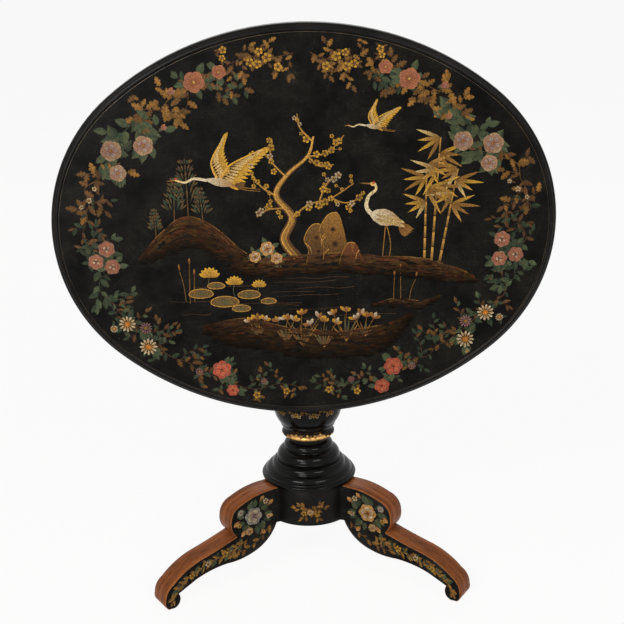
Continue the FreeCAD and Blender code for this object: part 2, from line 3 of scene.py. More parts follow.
import json
import logging
import random
from dataclasses import dataclass, field
from enum import Enum
from math import atan2, cos, hypot, log, pi, radians, sin, sqrt
from typing import Callable, Iterable, Sequence

import bmesh
import bpy
from bmesh.types import BMesh, BMFace, BMVert
from bpy.types import Material, Mesh, Node, NodeOutputs, NodeSocket, NodeTree, Object
from mathutils import Matrix, Vector
from mathutils.geometry import tessellate_polygon

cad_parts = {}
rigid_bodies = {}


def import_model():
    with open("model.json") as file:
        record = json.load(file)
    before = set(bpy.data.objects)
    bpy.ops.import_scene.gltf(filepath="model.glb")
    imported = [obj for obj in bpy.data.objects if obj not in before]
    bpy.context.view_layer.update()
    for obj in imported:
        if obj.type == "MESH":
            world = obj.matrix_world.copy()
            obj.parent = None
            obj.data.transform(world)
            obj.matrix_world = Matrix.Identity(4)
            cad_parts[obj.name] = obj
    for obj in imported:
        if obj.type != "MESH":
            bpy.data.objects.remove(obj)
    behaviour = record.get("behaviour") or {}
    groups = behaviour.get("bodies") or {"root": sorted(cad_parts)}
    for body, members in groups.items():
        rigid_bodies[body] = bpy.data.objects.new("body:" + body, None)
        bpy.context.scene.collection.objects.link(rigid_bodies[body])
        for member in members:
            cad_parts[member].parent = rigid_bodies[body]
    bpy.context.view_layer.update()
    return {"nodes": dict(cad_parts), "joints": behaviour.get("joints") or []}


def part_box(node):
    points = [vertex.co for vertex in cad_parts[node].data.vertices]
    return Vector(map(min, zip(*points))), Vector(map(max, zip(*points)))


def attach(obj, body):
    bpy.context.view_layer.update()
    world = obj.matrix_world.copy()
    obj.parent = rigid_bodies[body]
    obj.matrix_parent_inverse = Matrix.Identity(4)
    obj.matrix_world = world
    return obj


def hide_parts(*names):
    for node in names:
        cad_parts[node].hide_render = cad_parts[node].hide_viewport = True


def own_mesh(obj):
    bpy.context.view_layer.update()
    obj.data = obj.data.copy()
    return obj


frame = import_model()

LOG = logging.getLogger("table")
MM = 0.001
Colour = tuple[float, float, float, float]
Point = tuple[float, float]
UP = Vector((0.0, 0.0, 1.0))


def linear(text: str, alpha: float = 1.0) -> Colour:
    """Turn an sRGB hex colour into a linear one.

    Args:
        text: The colour as "#rrggbb".
        alpha: What goes into the fourth channel.

    Returns:
        Red, green, blue and alpha.
    """
    channels = [int(text[place:place + 2], 16) / 255 for place in (1, 3, 5)]
    bent = [c / 12.92 if c <= 0.04045 else ((c + 0.055) / 1.055) ** 2.4 for c in channels]
    return (bent[0], bent[1], bent[2], alpha)


def blend(one: Colour, other: Colour, share: float) -> Colour:
    """Mix two linear colours.

    Args:
        one: Colour at a share of 0.
        other: Colour at a share of 1.
        share: How far to go from one to the other.

    Returns:
        The mixed colour.
    """
    red, green, blue, alpha = (a + (b - a) * share for a, b in zip(one, other))
    return (red, green, blue, alpha)


def levels(node: str) -> Point:
    """Lowest and highest level of a CAD node, in millimetres."""
    low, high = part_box(node)
    return (low.z / MM, high.z / MM)


def ways(angle: float) -> tuple[Vector, Vector]:
    """Level ways out from the upright axis and across, at an angle in radians."""
    return Vector((cos(angle), sin(angle), 0.0)), Vector((-sin(angle), cos(angle), 0.0))


def connect(tree: NodeTree, node: Node, inputs: dict) -> None:
    """Link or set a node's inputs.

    Args:
        tree: Tree that holds the node.
        node: Node to feed.
        inputs: Socket name or number, with a value, an output, or a node for its first output in use.
    """
    for key, source in inputs.items():
        if isinstance(source, Node):
            source = next(socket for socket in source.outputs if socket.enabled)
        if isinstance(source, NodeSocket):
            tree.links.new(source, node.inputs[key])
        else:
            node.inputs[key].default_value = source


def add(tree: NodeTree, kind: str, inputs: dict | None = None, **settings: object) -> Node:
    """Add a node to a tree, with its settings and links.

    Args:
        tree: Tree that takes the node.
        kind: Blender's name for the node's type.
        inputs: What feeds its inputs, as in connect.
        settings: Properties of the node itself.

    Returns:
        The new node.
    """
    node = tree.nodes.new(kind)
    for name, setting in settings.items():
        setattr(node, name, setting)
    connect(tree, node, inputs or {})
    return node


class Paint(tuple, Enum):
    """Colours of the decoration, linear, from an sRGB hex value and the share of metal powder as alpha."""

    GOLD = ("#cc9848", 0.30)
    PALE_GOLD = ("#dcbc7c", 0.25)
    YELLOW = ("#d3a136", 0.20)
    OCHRE = ("#9a6c31", 0.15)
    BRONZE = ("#745228", 0.10)
    APRICOT = ("#d09a5c", 0.0)
    BUFF = ("#b0926e", 0.0)
    ASH = ("#a8a094", 0.0)
    UMBER = ("#5a3c24", 0.0)
    RUSSET = ("#7a4426", 0.0)
    CREAM = ("#d9c8a4", 0.0)
    SALMON = ("#b8724c", 0.0)
    ROSE = ("#a8745c", 0.0)
    DUSK = ("#845242", 0.0)
    CORAL = ("#c9533a", 0.0)
    ORANGE = ("#d0822f", 0.0)
    PLUM = ("#6f5160", 0.0)
    MOSS = ("#5c6040", 0.0)
    LEAF = ("#465038", 0.0)
    PINE = ("#2f3a2a", 0.0)
    STONE = ("#77705e", 0.0)

    def __new__(cls, made: tuple[str, float]) -> "Paint":
        """Work out a member's colour from its hex value and powder.

        Args:
            made: The hex value, and the share of metal powder.

        Returns:
            The member, which is its own linear colour with the powder as alpha.
        """
        colour = tuple.__new__(cls, linear(*made))
        colour._value_ = made[0]
        return colour


def marks_of(tree: NodeTree, source: NodeSocket, sizes_mm: Sequence[float], turn: float = 0.0) -> dict:
    """Inputs that give a noise texture marks of these sizes.

    Args:
        tree: Tree that takes the nodes.
        source: Coordinates in metres.
        sizes_mm: Size of a mark along each axis, in millimetres.
        turn: Rotation of the pattern about the second axis, in radians.

    Returns:
        The texture's coordinates and scale.
    """
    scale = tuple(1.0 / (size * MM) for size in sizes_mm)
    turned = add(tree, "ShaderNodeMapping", {"Vector": source, "Rotation": (0.0, turn, 0.0)})
    return {"Vector": add(tree, "ShaderNodeMapping", {"Vector": turned, "Scale": scale}), "Scale": 1.0}


@dataclass(frozen=True)
class Finish:
    """A finish of the table, as what it sets on the shader's own sockets."""

    name: str

    def build(self) -> Material:
        """Make the material.

        Returns:
            The material.
        """
        material = bpy.data.materials.new(self.name)
        material.use_nodes = True
        tree = material.node_tree
        coordinates = add(tree, "ShaderNodeTexCoord").outputs
        connect(tree, tree.nodes["Principled BSDF"], self.sockets(tree, coordinates))
        return material

    def sockets(self, tree: NodeTree, coordinates: NodeOutputs) -> dict:
        """What feeds the shader, from the piece's coordinates."""
        raise NotImplementedError


@dataclass(frozen=True)
class JapannedLacquer(Finish):
    """Black japanning over wood, rubbed down: deep black, a soft sheen, fine scratches and grey specks."""

    black: str = "#080807"
    brown: str = "#191713"
    scratch: str = "#6d685c"
    roughness: float = 0.24
    gloss: float = 0.05
    mottle_mm: float = 60.0
    # Real scratches are about 0.2 mm wide and real specks under 1 mm across, too fine to show in the render,
    # so both are drawn as coarse as they need to be.
    scratch_width_mm: float = 1.1
    scratch_length_mm: float = 60.0
    scratch_turns: tuple[float, ...] = (0.04, 0.5, -0.75, 1.35)
    speck_mm: float = 2.6
    wear: float = 0.22
    # Brushed coats keep a faint ripple when rubbed down, which breaks up the sheen.
    ripple: float = 0.05
    ripple_mm: float = 6.0

    def sockets(self, tree: NodeTree, coordinates: NodeOutputs) -> dict:
        """Black with brown clouds, under specks, crossed scratches and a faint ripple.

        Args:
            tree: The material's tree.
            coordinates: Coordinates of the piece.

        Returns:
            What feeds the shader, by socket.
        """
        place = coordinates["Object"]
        mottle = add(tree, "ShaderNodeTexNoise", {
            **marks_of(tree, place, (self.mottle_mm,) * 3), "Detail": 6.0, "Roughness": 0.62})
        cloud = add(tree, "ShaderNodeMapRange", {"Value": mottle, "From Min": 0.36, "From Max": 0.70})
        body = add(tree, "ShaderNodeMix", {
            0: cloud, 6: linear(self.black), 7: linear(self.brown)}, data_type="RGBA")
        patchy = add(tree, "ShaderNodeMapRange", {
            "Value": mottle, "From Min": 0.40, "From Max": 0.64,
            "To Min": 0.1 * self.wear, "To Max": self.wear})
        marks = self.speckle(tree, place)
        sizes = (self.scratch_length_mm, self.scratch_width_mm, self.scratch_width_mm)
        for turn in self.scratch_turns:
            grain = add(tree, "ShaderNodeTexNoise", {**marks_of(tree, place, sizes, turn), "Detail": 3.0})
            cut = add(tree, "ShaderNodeMapRange", {
                "Value": grain, "From Min": 0.60, "From Max": 0.80, "To Max": patchy})
            marks = add(tree, "ShaderNodeMath", {0: marks, 1: cut}, operation="MAXIMUM")
        rubbed = add(tree, "ShaderNodeMix", {0: marks, 6: body, 7: linear(self.scratch)}, data_type="RGBA")
        dull = add(tree, "ShaderNodeMapRange", {
            "Value": mottle, "From Min": 0.3, "From Max": 0.7,
            "To Min": self.roughness * 0.85, "To Max": self.roughness * 1.2})
        fine = add(tree, "ShaderNodeTexNoise",
                   {**marks_of(tree, place, (self.ripple_mm,) * 3), "Detail": 2.0})
        ripple = add(tree, "ShaderNodeBump", {"Height": fine, "Strength": self.ripple, "Distance": 0.4 * MM})
        return {"Base Color": rubbed, "Roughness": dull, "Normal": ripple, "Specular IOR Level": self.gloss}

    def speckle(self, tree: NodeTree, place: NodeSocket) -> Node:
        """Small grey specks where the black has chipped, gathered in loose patches.

        Args:
            tree: The material's tree.
            place: Coordinates of the piece.

        Returns:
            A node that gives their strength.
        """
        speck = (self.speck_mm * 1.8, self.speck_mm, self.speck_mm)
        fine = add(tree, "ShaderNodeTexNoise", {**marks_of(tree, place, speck), "Detail": 2.0})
        broad = add(tree, "ShaderNodeTexNoise", {
            **marks_of(tree, place, (self.mottle_mm * 1.5,) * 3), "Detail": 2.0})
        chip = add(tree, "ShaderNodeMapRange", {
            "Value": fine, "From Min": 0.66, "From Max": 0.74, "To Max": self.wear * 1.5})
        gathered = add(tree, "ShaderNodeMapRange", {"Value": broad, "From Min": 0.42, "From Max": 0.62})
        return add(tree, "ShaderNodeMath", {0: chip, 1: gathered}, operation="MULTIPLY")


class Grain(Enum):
    """Way the grain runs, up the piece or along its own UV map, as a mark's stretch along each axis."""

    UPRIGHT = (1.0, 1.0, 14.0)
    MAP = (14.0, 1.0, 1.0)


@dataclass(frozen=True)
class PolishedWood(Finish):
    """Walnut, sawn and polished: warm brown, fine darker grain, a painted highlight and rubbing at an arris.
    """

    pale: str = "#9a6540"
    middle: str = "#80502f"
    dark: str = "#4e2c18"
    # Paler colour along the arris: a painted highlight together with rubbing.
    rubbed: str = "#b07a48"
    # Walnut's pores are about 0.3 mm wide, too fine to show, so the grain is drawn as coarse as needed.
    grain_mm: float = 2.2
    grain: Grain = Grain.MAP
    roughness: float = 0.38
    gloss: float = 0.30
    # Half the breadth of an edge painted paler along its arrises, as highlight and rubbing, or 0 for none.
    half_breadth_mm: float = 0.0
    arris_mm: float = 1.6

    def sockets(self, tree: NodeTree, coordinates: NodeOutputs) -> dict:
        """Dark to middle brown along the grain, swept paler in broad bands, with a painted highlight and
        rubbing at the arris.

        Args:
            tree: The material's tree.
            coordinates: Coordinates of the piece.

        Returns:
            What feeds the shader, by socket.
        """
        place = coordinates["UV" if self.grain is Grain.MAP else "Object"]
        stretch = [self.grain_mm * share for share in self.grain.value]
        streak = add(tree, "ShaderNodeTexNoise", {
            **marks_of(tree, place, stretch), "Detail": 6.0, "Roughness": 0.62})
        broad = add(tree, "ShaderNodeTexNoise", {
            **marks_of(tree, place, [9.0 * size for size in stretch]), "Detail": 2.0})
        spread = add(tree, "ShaderNodeMapRange", {"Value": streak, "From Min": 0.36, "From Max": 0.62})
        swept = add(tree, "ShaderNodeMapRange", {
            "Value": broad, "From Min": 0.40, "From Max": 0.75, "To Max": 0.8})
        colour = add(tree, "ShaderNodeMix", {
            0: spread, 6: linear(self.dark), 7: linear(self.middle)}, data_type="RGBA")
        colour = add(tree, "ShaderNodeMix", {0: swept, 6: colour, 7: linear(self.pale)}, data_type="RGBA")
        # Paler near the arrises: a painted highlight together with rubbing.
        if self.half_breadth_mm:
            across = add(tree, "ShaderNodeSeparateXYZ", {"Vector": place}).outputs["Y"]
            near = add(tree, "ShaderNodeMapRange", {
                "Value": add(tree, "ShaderNodeMath", {0: across}, operation="ABSOLUTE"), "To Max": 0.28,
                "From Min": (self.half_breadth_mm - self.arris_mm) * MM,
                "From Max": (self.half_breadth_mm - self.arris_mm * 0.4) * MM})
            colour = add(tree, "ShaderNodeMix", {0: near, 6: colour, 7: linear(self.rubbed)},
                         data_type="RGBA")
        dull = add(tree, "ShaderNodeMapRange", {
            "Value": streak, "To Min": self.roughness * 1.2, "To Max": self.roughness * 0.8})
        pores = add(tree, "ShaderNodeBump", {"Height": streak, "Strength": 0.15, "Distance": 0.3 * MM})
        return {"Base Color": colour, "Roughness": dull, "Normal": pores, "Specular IOR Level": self.gloss}


@dataclass(frozen=True)
class WornMetal(Finish):
    """Metal, or leaf on bole, that has dulled and rubbed through in patches."""

    bright: str
    dull: str
    metallic: float = 1.0
    roughness: float = 0.38
    # Patches of tarnish are some millimetres across.
    patch_mm: float = 6.0
    # Noise levels between which the bright metal gives way to the dull one.
    worn_from: float = 0.45
    worn_to: float = 0.70

    def sockets(self, tree: NodeTree, coordinates: NodeOutputs) -> dict:
        """Bright where it is whole, dull and rougher where it has worn, and a little uneven.

        Args:
            tree: The material's tree.
            coordinates: Coordinates of the piece.

        Returns:
            What feeds the shader, by socket.
        """
        patch = add(tree, "ShaderNodeTexNoise", {
            **marks_of(tree, coordinates["Object"], (self.patch_mm,) * 3), "Detail": 6.0})
        worn = add(tree, "ShaderNodeMapRange", {
            "Value": patch, "From Min": self.worn_from, "From Max": self.worn_to})
        colour = add(tree, "ShaderNodeMix", {
            0: worn, 6: linear(self.bright), 7: linear(self.dull)}, data_type="RGBA")
        rough = add(tree, "ShaderNodeMapRange", {
            "Value": worn, "To Min": self.roughness, "To Max": min(1.0, self.roughness * 1.7)})
        uneven = add(tree, "ShaderNodeBump", {"Height": patch, "Strength": 0.2, "Distance": 0.15 * MM})
        return {"Base Color": colour, "Roughness": rough, "Normal": uneven, "Metallic": self.metallic}


@dataclass(frozen=True)
class HalfGiltWood(Finish):
    """Black japanning with gold leaf below a level, rubbed to bole in patches and at its edges."""

    level_mm: float
    # How far the gilding's edge strays, and the distances from the middle between which it drops.
    ragged_mm: float = 3.6
    sides_from_mm: float = 28.0
    sides_to_mm: float = 52.0
    leaf: str = "#dcab64"
    bole: str = "#5c3018"
    black: str = "#0b0b0a"
    patch_mm: float = 7.0
    roughness: float = 0.34
    gloss: float = 0.09

    def sockets(self, tree: NodeTree, coordinates: NodeOutputs) -> dict:
        """Black above a ragged level, a thin line of bole there, and leaf on bole below.

        Args:
            tree: The material's tree.
            coordinates: Coordinates of the piece.

        Returns:
            What feeds the shader, by socket.
        """
        place = coordinates["Object"]
        patch = add(tree, "ShaderNodeTexNoise",
                    {**marks_of(tree, place, (self.patch_mm,) * 3), "Detail": 6.0})
        split = add(tree, "ShaderNodeSeparateXYZ", {"Vector": place}).outputs
        # The gilding's edge lies lower toward the left and the right, so less gold shows at the sides.
        lower_at_sides = add(tree, "ShaderNodeMapRange", {
            "Value": add(tree, "ShaderNodeMath", {0: split["X"]}, operation="ABSOLUTE"),
            "From Min": self.sides_from_mm * MM, "From Max": self.sides_to_mm * MM,
            "To Max": 2.2 * self.ragged_mm * MM})
        stray = add(tree, "ShaderNodeMapRange", {
            "Value": patch, "From Min": 0.3, "From Max": 0.7,
            "To Min": -self.ragged_mm * MM, "To Max": self.ragged_mm * MM})
        height = add(tree, "ShaderNodeMath", {0: split["Z"], 1: lower_at_sides}, operation="ADD")
        wavy = add(tree, "ShaderNodeMath", {0: height, 1: stray}, operation="ADD")
        gilded = add(tree, "ShaderNodeMapRange", {
            "Value": wavy, "From Min": (self.level_mm + 0.5) * MM, "From Max": (self.level_mm - 0.9) * MM})
        whole = add(tree, "ShaderNodeMapRange", {
            "Value": wavy, "From Min": (self.level_mm - 0.6) * MM, "From Max": (self.level_mm - 2.6) * MM})
        worn = add(tree, "ShaderNodeMapRange", {"Value": patch, "From Min": 0.72, "From Max": 0.52})
        kept = add(tree, "ShaderNodeMath", {0: whole, 1: worn}, operation="MULTIPLY")
        gold = add(tree, "ShaderNodeMix", {0: kept, 6: linear(self.bole), 7: linear(self.leaf)},
                   data_type="RGBA")
        colour = add(tree, "ShaderNodeMix", {0: gilded, 6: linear(self.black), 7: gold}, data_type="RGBA")
        metal = add(tree, "ShaderNodeMath", {0: kept, 1: 0.6}, operation="MULTIPLY")
        return {"Base Color": colour, "Metallic": metal, "Roughness": self.roughness,
                "Specular IOR Level": self.gloss}


@dataclass(frozen=True)
class BrushedPaint(Finish):
    """Oil colour and gold powder laid on by brush: each stroke's own colour, thin and a little rubbed."""

    ground: str = "#1a140d"
    roughness: float = 0.48
    gloss: float = 0.08
    # A brush's hairs leave streaks of about 0.3 mm, too fine to show, so they are drawn as coarse as needed.
    streak_mm: float = 2.5

    def sockets(self, tree: NodeTree, coordinates: NodeOutputs) -> dict:
        """The strokes' colours from their attribute, with metal powder as its alpha, over a dark ground.

        Args:
            tree: The material's tree.
            coordinates: Coordinates of the piece.

        Returns:
            What feeds the shader, by socket.
        """
        stroke = add(tree, "ShaderNodeVertexColor", layer_name=PaintFilm.LAYER).outputs
        streak = add(tree, "ShaderNodeTexNoise", {
            **marks_of(tree, coordinates["Object"], (self.streak_mm,) * 3), "Detail": 4.0})
        thin = add(tree, "ShaderNodeMapRange", {
            "Value": streak, "From Min": 0.42, "From Max": 0.66, "To Max": 0.62})
        colour = add(tree, "ShaderNodeMix", {
            0: thin, 6: stroke["Color"], 7: linear(self.ground)}, data_type="RGBA")
        return {"Base Color": colour, "Metallic": stroke["Alpha"], "Roughness": self.roughness,
                "Specular IOR Level": self.gloss}


def arc_through(start: Point, middle: Point, end: Point, steps: int) -> list[Point]:
    """Points on the arc through three points.

    Args:
        start: First point, which is left out of the result.
        middle: Point on the arc.
        end: Last point.
        steps: Number of points to give.

    Returns:
        The points after the start, the end among them.
    """
    (ax, ay), (bx, by), (cx, cy) = start, middle, end
    double = 2 * (ax * (by - cy) + bx * (cy - ay) + cx * (ay - by))
    if abs(double) < 1e-9:
        return [end]
    a2, b2, c2 = (x * x + y * y for x, y in (start, middle, end))
    ox = (a2 * (by - cy) + b2 * (cy - ay) + c2 * (ay - by)) / double
    oy = (a2 * (cx - bx) + b2 * (ax - cx) + c2 * (bx - ax)) / double
    radius = hypot(ax - ox, ay - oy)
    first, mid, last = (atan2(y - oy, x - ox) for x, y in (start, middle, end))
    turn = (last - first) % (2 * pi)
    if (mid - first) % (2 * pi) > turn:
        turn -= 2 * pi
    angles = [first + turn * step / steps for step in range(1, steps + 1)]
    return [(ox + radius * cos(angle), oy + radius * sin(angle)) for angle in angles]


def outline_of(rows: Iterable[Sequence[float]], steps: int = 10) -> list[Point]:
    """Points of an outline given as line ends, or arc ends followed by the arc's middle.

    Args:
        rows: Rows of two or four numbers.
        steps: Points for each arc.

    Returns:
        The points in order.
    """
    points: list[Point] = []
    for row in rows:
        if len(row) == 2:
            points.append((row[0], row[1]))
        else:
            points += arc_through(points[-1], (row[2], row[3]), (row[0], row[1]), steps)
    return points


def smooth_line(points: Sequence[Point], steps: int = 6) -> list[Point]:
    """Points of a smooth line through the given ones.

    Args:
        points: Points that the line passes.
        steps: Points for each stretch.

    Returns:
        The points of the smooth line.
    """
    line: list[Point] = []
    padded = [points[0], *points, points[-1]]
    for index in range(1, len(padded) - 2):
        before, start, end, after = (Vector(p) for p in padded[index - 1:index + 3])
        for step in range(steps):
            t = step / steps
            spot = 0.5 * (2 * start + (end - before) * t + (2 * before - 5 * start + 4 * end - after) * t ** 2
                          + (3 * start - before - 3 * end + after) * t ** 3)
            line.append((spot.x, spot.y))
    line.append((points[-1][0], points[-1][1]))
    return line


def new_piece(name: str, mesh: Mesh, body: str, replaced: Sequence[str] = ()) -> Object:
    """Put a finished mesh in the scene as a piece of the table.

    Args:
        name: The piece's name.
        mesh: Its mesh, in place.
        body: Body that it moves with.
        replaced: CAD nodes that it stands for.

    Returns:
        The new object.
    """
    piece = bpy.data.objects.new(name, mesh)
    bpy.context.scene.collection.objects.link(piece)
    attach(piece, body)
    if replaced:
        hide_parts(*replaced)
    LOG.info("%s: %d faces on %s", name, len(mesh.polygons), body)
    return piece


def shade(mesh: Mesh, degrees: float = 32.0) -> None:
    """Shade a mesh smooth, with edges sharper than an angle kept sharp."""
    mesh.shade_smooth()
    mesh.set_sharp_from_angle(angle=radians(degrees))


def mesh_of(name: str, form: BMesh, finishes: Iterable[Material], degrees: float) -> Mesh:
    """Make a shaded mesh from a form, which is freed.

    Args:
        name: Name of the mesh.
        form: Its faces.
        finishes: Its materials in order.
        degrees: Angle from which an edge stays sharp.

    Returns:
        The new mesh.
    """
    mesh = bpy.data.meshes.new(name)
    form.to_mesh(mesh)
    form.free()
    for finish in finishes:
        mesh.materials.append(finish)
    shade(mesh, degrees)
    return mesh


def band(form: BMesh, ring: Sequence[BMVert], following: Sequence[BMVert], finish: int = 0) -> list[BMFace]:
    """Join two closed rings of points by a band of faces.

    Args:
        form: Form that takes the faces.
        ring: Points of the first ring.
        following: Points of the other, or one point as often, which makes triangles.
        finish: Number of the faces' material.

    Returns:
        The new faces in order.
    """
    faces = []
    count = len(ring)
    for step in range(count):
        ahead = (step + 1) % count
        corners = list(dict.fromkeys((ring[step], ring[ahead], following[ahead], following[step])))
        if len(corners) > 2:
            faces.append(form.faces.new(corners))
            faces[-1].material_index = finish
    return faces


def worn_copy(node: str, material: Material, arris_mm: float, holed: bool = False) -> Mesh:
    """A copy of a CAD node's mesh with its sharp edges rubbed round.

    Args:
        node: The node's name.
        material: Finish of the copy.
        arris_mm: Radius of the rubbed edges.
        holed: Whether flat faces have holes in them, and so stay in triangles.

    Returns:
        The new mesh.
    """
    same_point = 1e-6
    flat, sharp = radians(0.5), radians(35)
    form = bmesh.new()
    form.from_mesh(frame["nodes"][node].data)
    bmesh.ops.remove_doubles(form, verts=form.verts, dist=same_point)
    if not holed:
        bmesh.ops.dissolve_limit(form, angle_limit=flat, verts=form.verts, edges=form.edges)
    arrises = [edge for edge in form.edges
               if edge.is_manifold and edge.is_convex and edge.calc_face_angle(0.0) > sharp]
    bmesh.ops.bevel(form, geom=arrises, offset=arris_mm * MM, offset_type="OFFSET", segments=2, profile=0.5,
                    affect="EDGES", clamp_overlap=True)
    bmesh.ops.triangulate(form, faces=[face for face in form.faces if len(face.verts) > 4])
    return mesh_of(f"{node}_worn", form, [material], 20.0 if holed else 32.0)


def turned_mesh(name: str, outline: Sequence[Point], material: Material, steps: int = 160) -> Mesh:
    """A solid turned about the upright axis from a closed outline.

    Args:
        name: Name of the mesh.
        outline: Radius and height of each point, in millimetres, round the section.
        material: Finish of the turning.
        steps: Faces round the axis.

    Returns:
        The closed mesh.
    """
    form = bmesh.new()
    angles = [2 * pi * step / steps for step in range(steps)]
    rings = []
    for radius, height in outline:
        if radius < 1e-6:
            rings.append([form.verts.new((0, 0, height * MM))] * steps)
        else:
            rings.append([form.verts.new((radius * MM * cos(a), radius * MM * sin(a), height * MM))
                          for a in angles])
    for ring, following in zip(rings, [*rings[1:], rings[0]]):
        band(form, ring, following)
    bmesh.ops.recalc_face_normals(form, faces=form.faces)
    return mesh_of(name, form, [material], 28.0)


class NodePlan:
    """A geometry-nodes tree with named inputs, which ends in real geometry with one finish."""

    def __init__(self, name: str, inputs: dict[str, str]) -> None:
        """Open a tree.

        Args:
            name: Name of the tree.
            inputs: Its inputs besides the geometry and the finish, with the kinds of their sockets.
        """
        self.tree = bpy.data.node_groups.new(name, "GeometryNodeTree")
        self.socket: dict[str, str] = {}
        for label, kind in {"Geometry": "Geometry", **inputs, "Finish": "Material"}.items():
            made = self.tree.interface.new_socket(label, in_out="INPUT", socket_type=f"NodeSocket{kind}")
            self.socket[label] = made.identifier
        self.tree.interface.new_socket("Geometry", in_out="OUTPUT", socket_type="NodeSocketGeometry")
        self.given = add(self.tree, "NodeGroupInput").outputs

    def end(self, geometry: Node) -> None:
        """Close the tree with instances made real and the finish set.

        Args:
            geometry: Node that gives the geometry.
        """
        real = add(self.tree, "GeometryNodeRealizeInstances", {"Geometry": geometry})
        made = add(self.tree, "GeometryNodeSetMaterial", {"Geometry": real, "Material": self.given["Finish"]})
        add(self.tree, "NodeGroupOutput", {0: made})

    def run(self, name: str, plan: Mesh, values: dict) -> Mesh:
        """Work the tree out.

        Args:
            name: Name of the new mesh.
            plan: Mesh that the tree starts from.
            values: Value of each input besides the geometry.

        Returns:
            A plain mesh of the result.
        """
        piece = bpy.data.objects.new(f"{name}_plan", plan)
        bpy.context.scene.collection.objects.link(piece)
        modifier = piece.modifiers.new(self.tree.name, "NODES")
        modifier.node_group = self.tree
        for label, value in values.items():
            modifier[self.socket[label]] = value
        graph = bpy.context.evaluated_depsgraph_get()
        mesh = bpy.data.meshes.new_from_object(
            piece.evaluated_get(graph), preserve_all_data_layers=True, depsgraph=graph)
        mesh.name = name
        piece.modifiers.remove(modifier)
        bpy.data.objects.remove(piece)
        return mesh


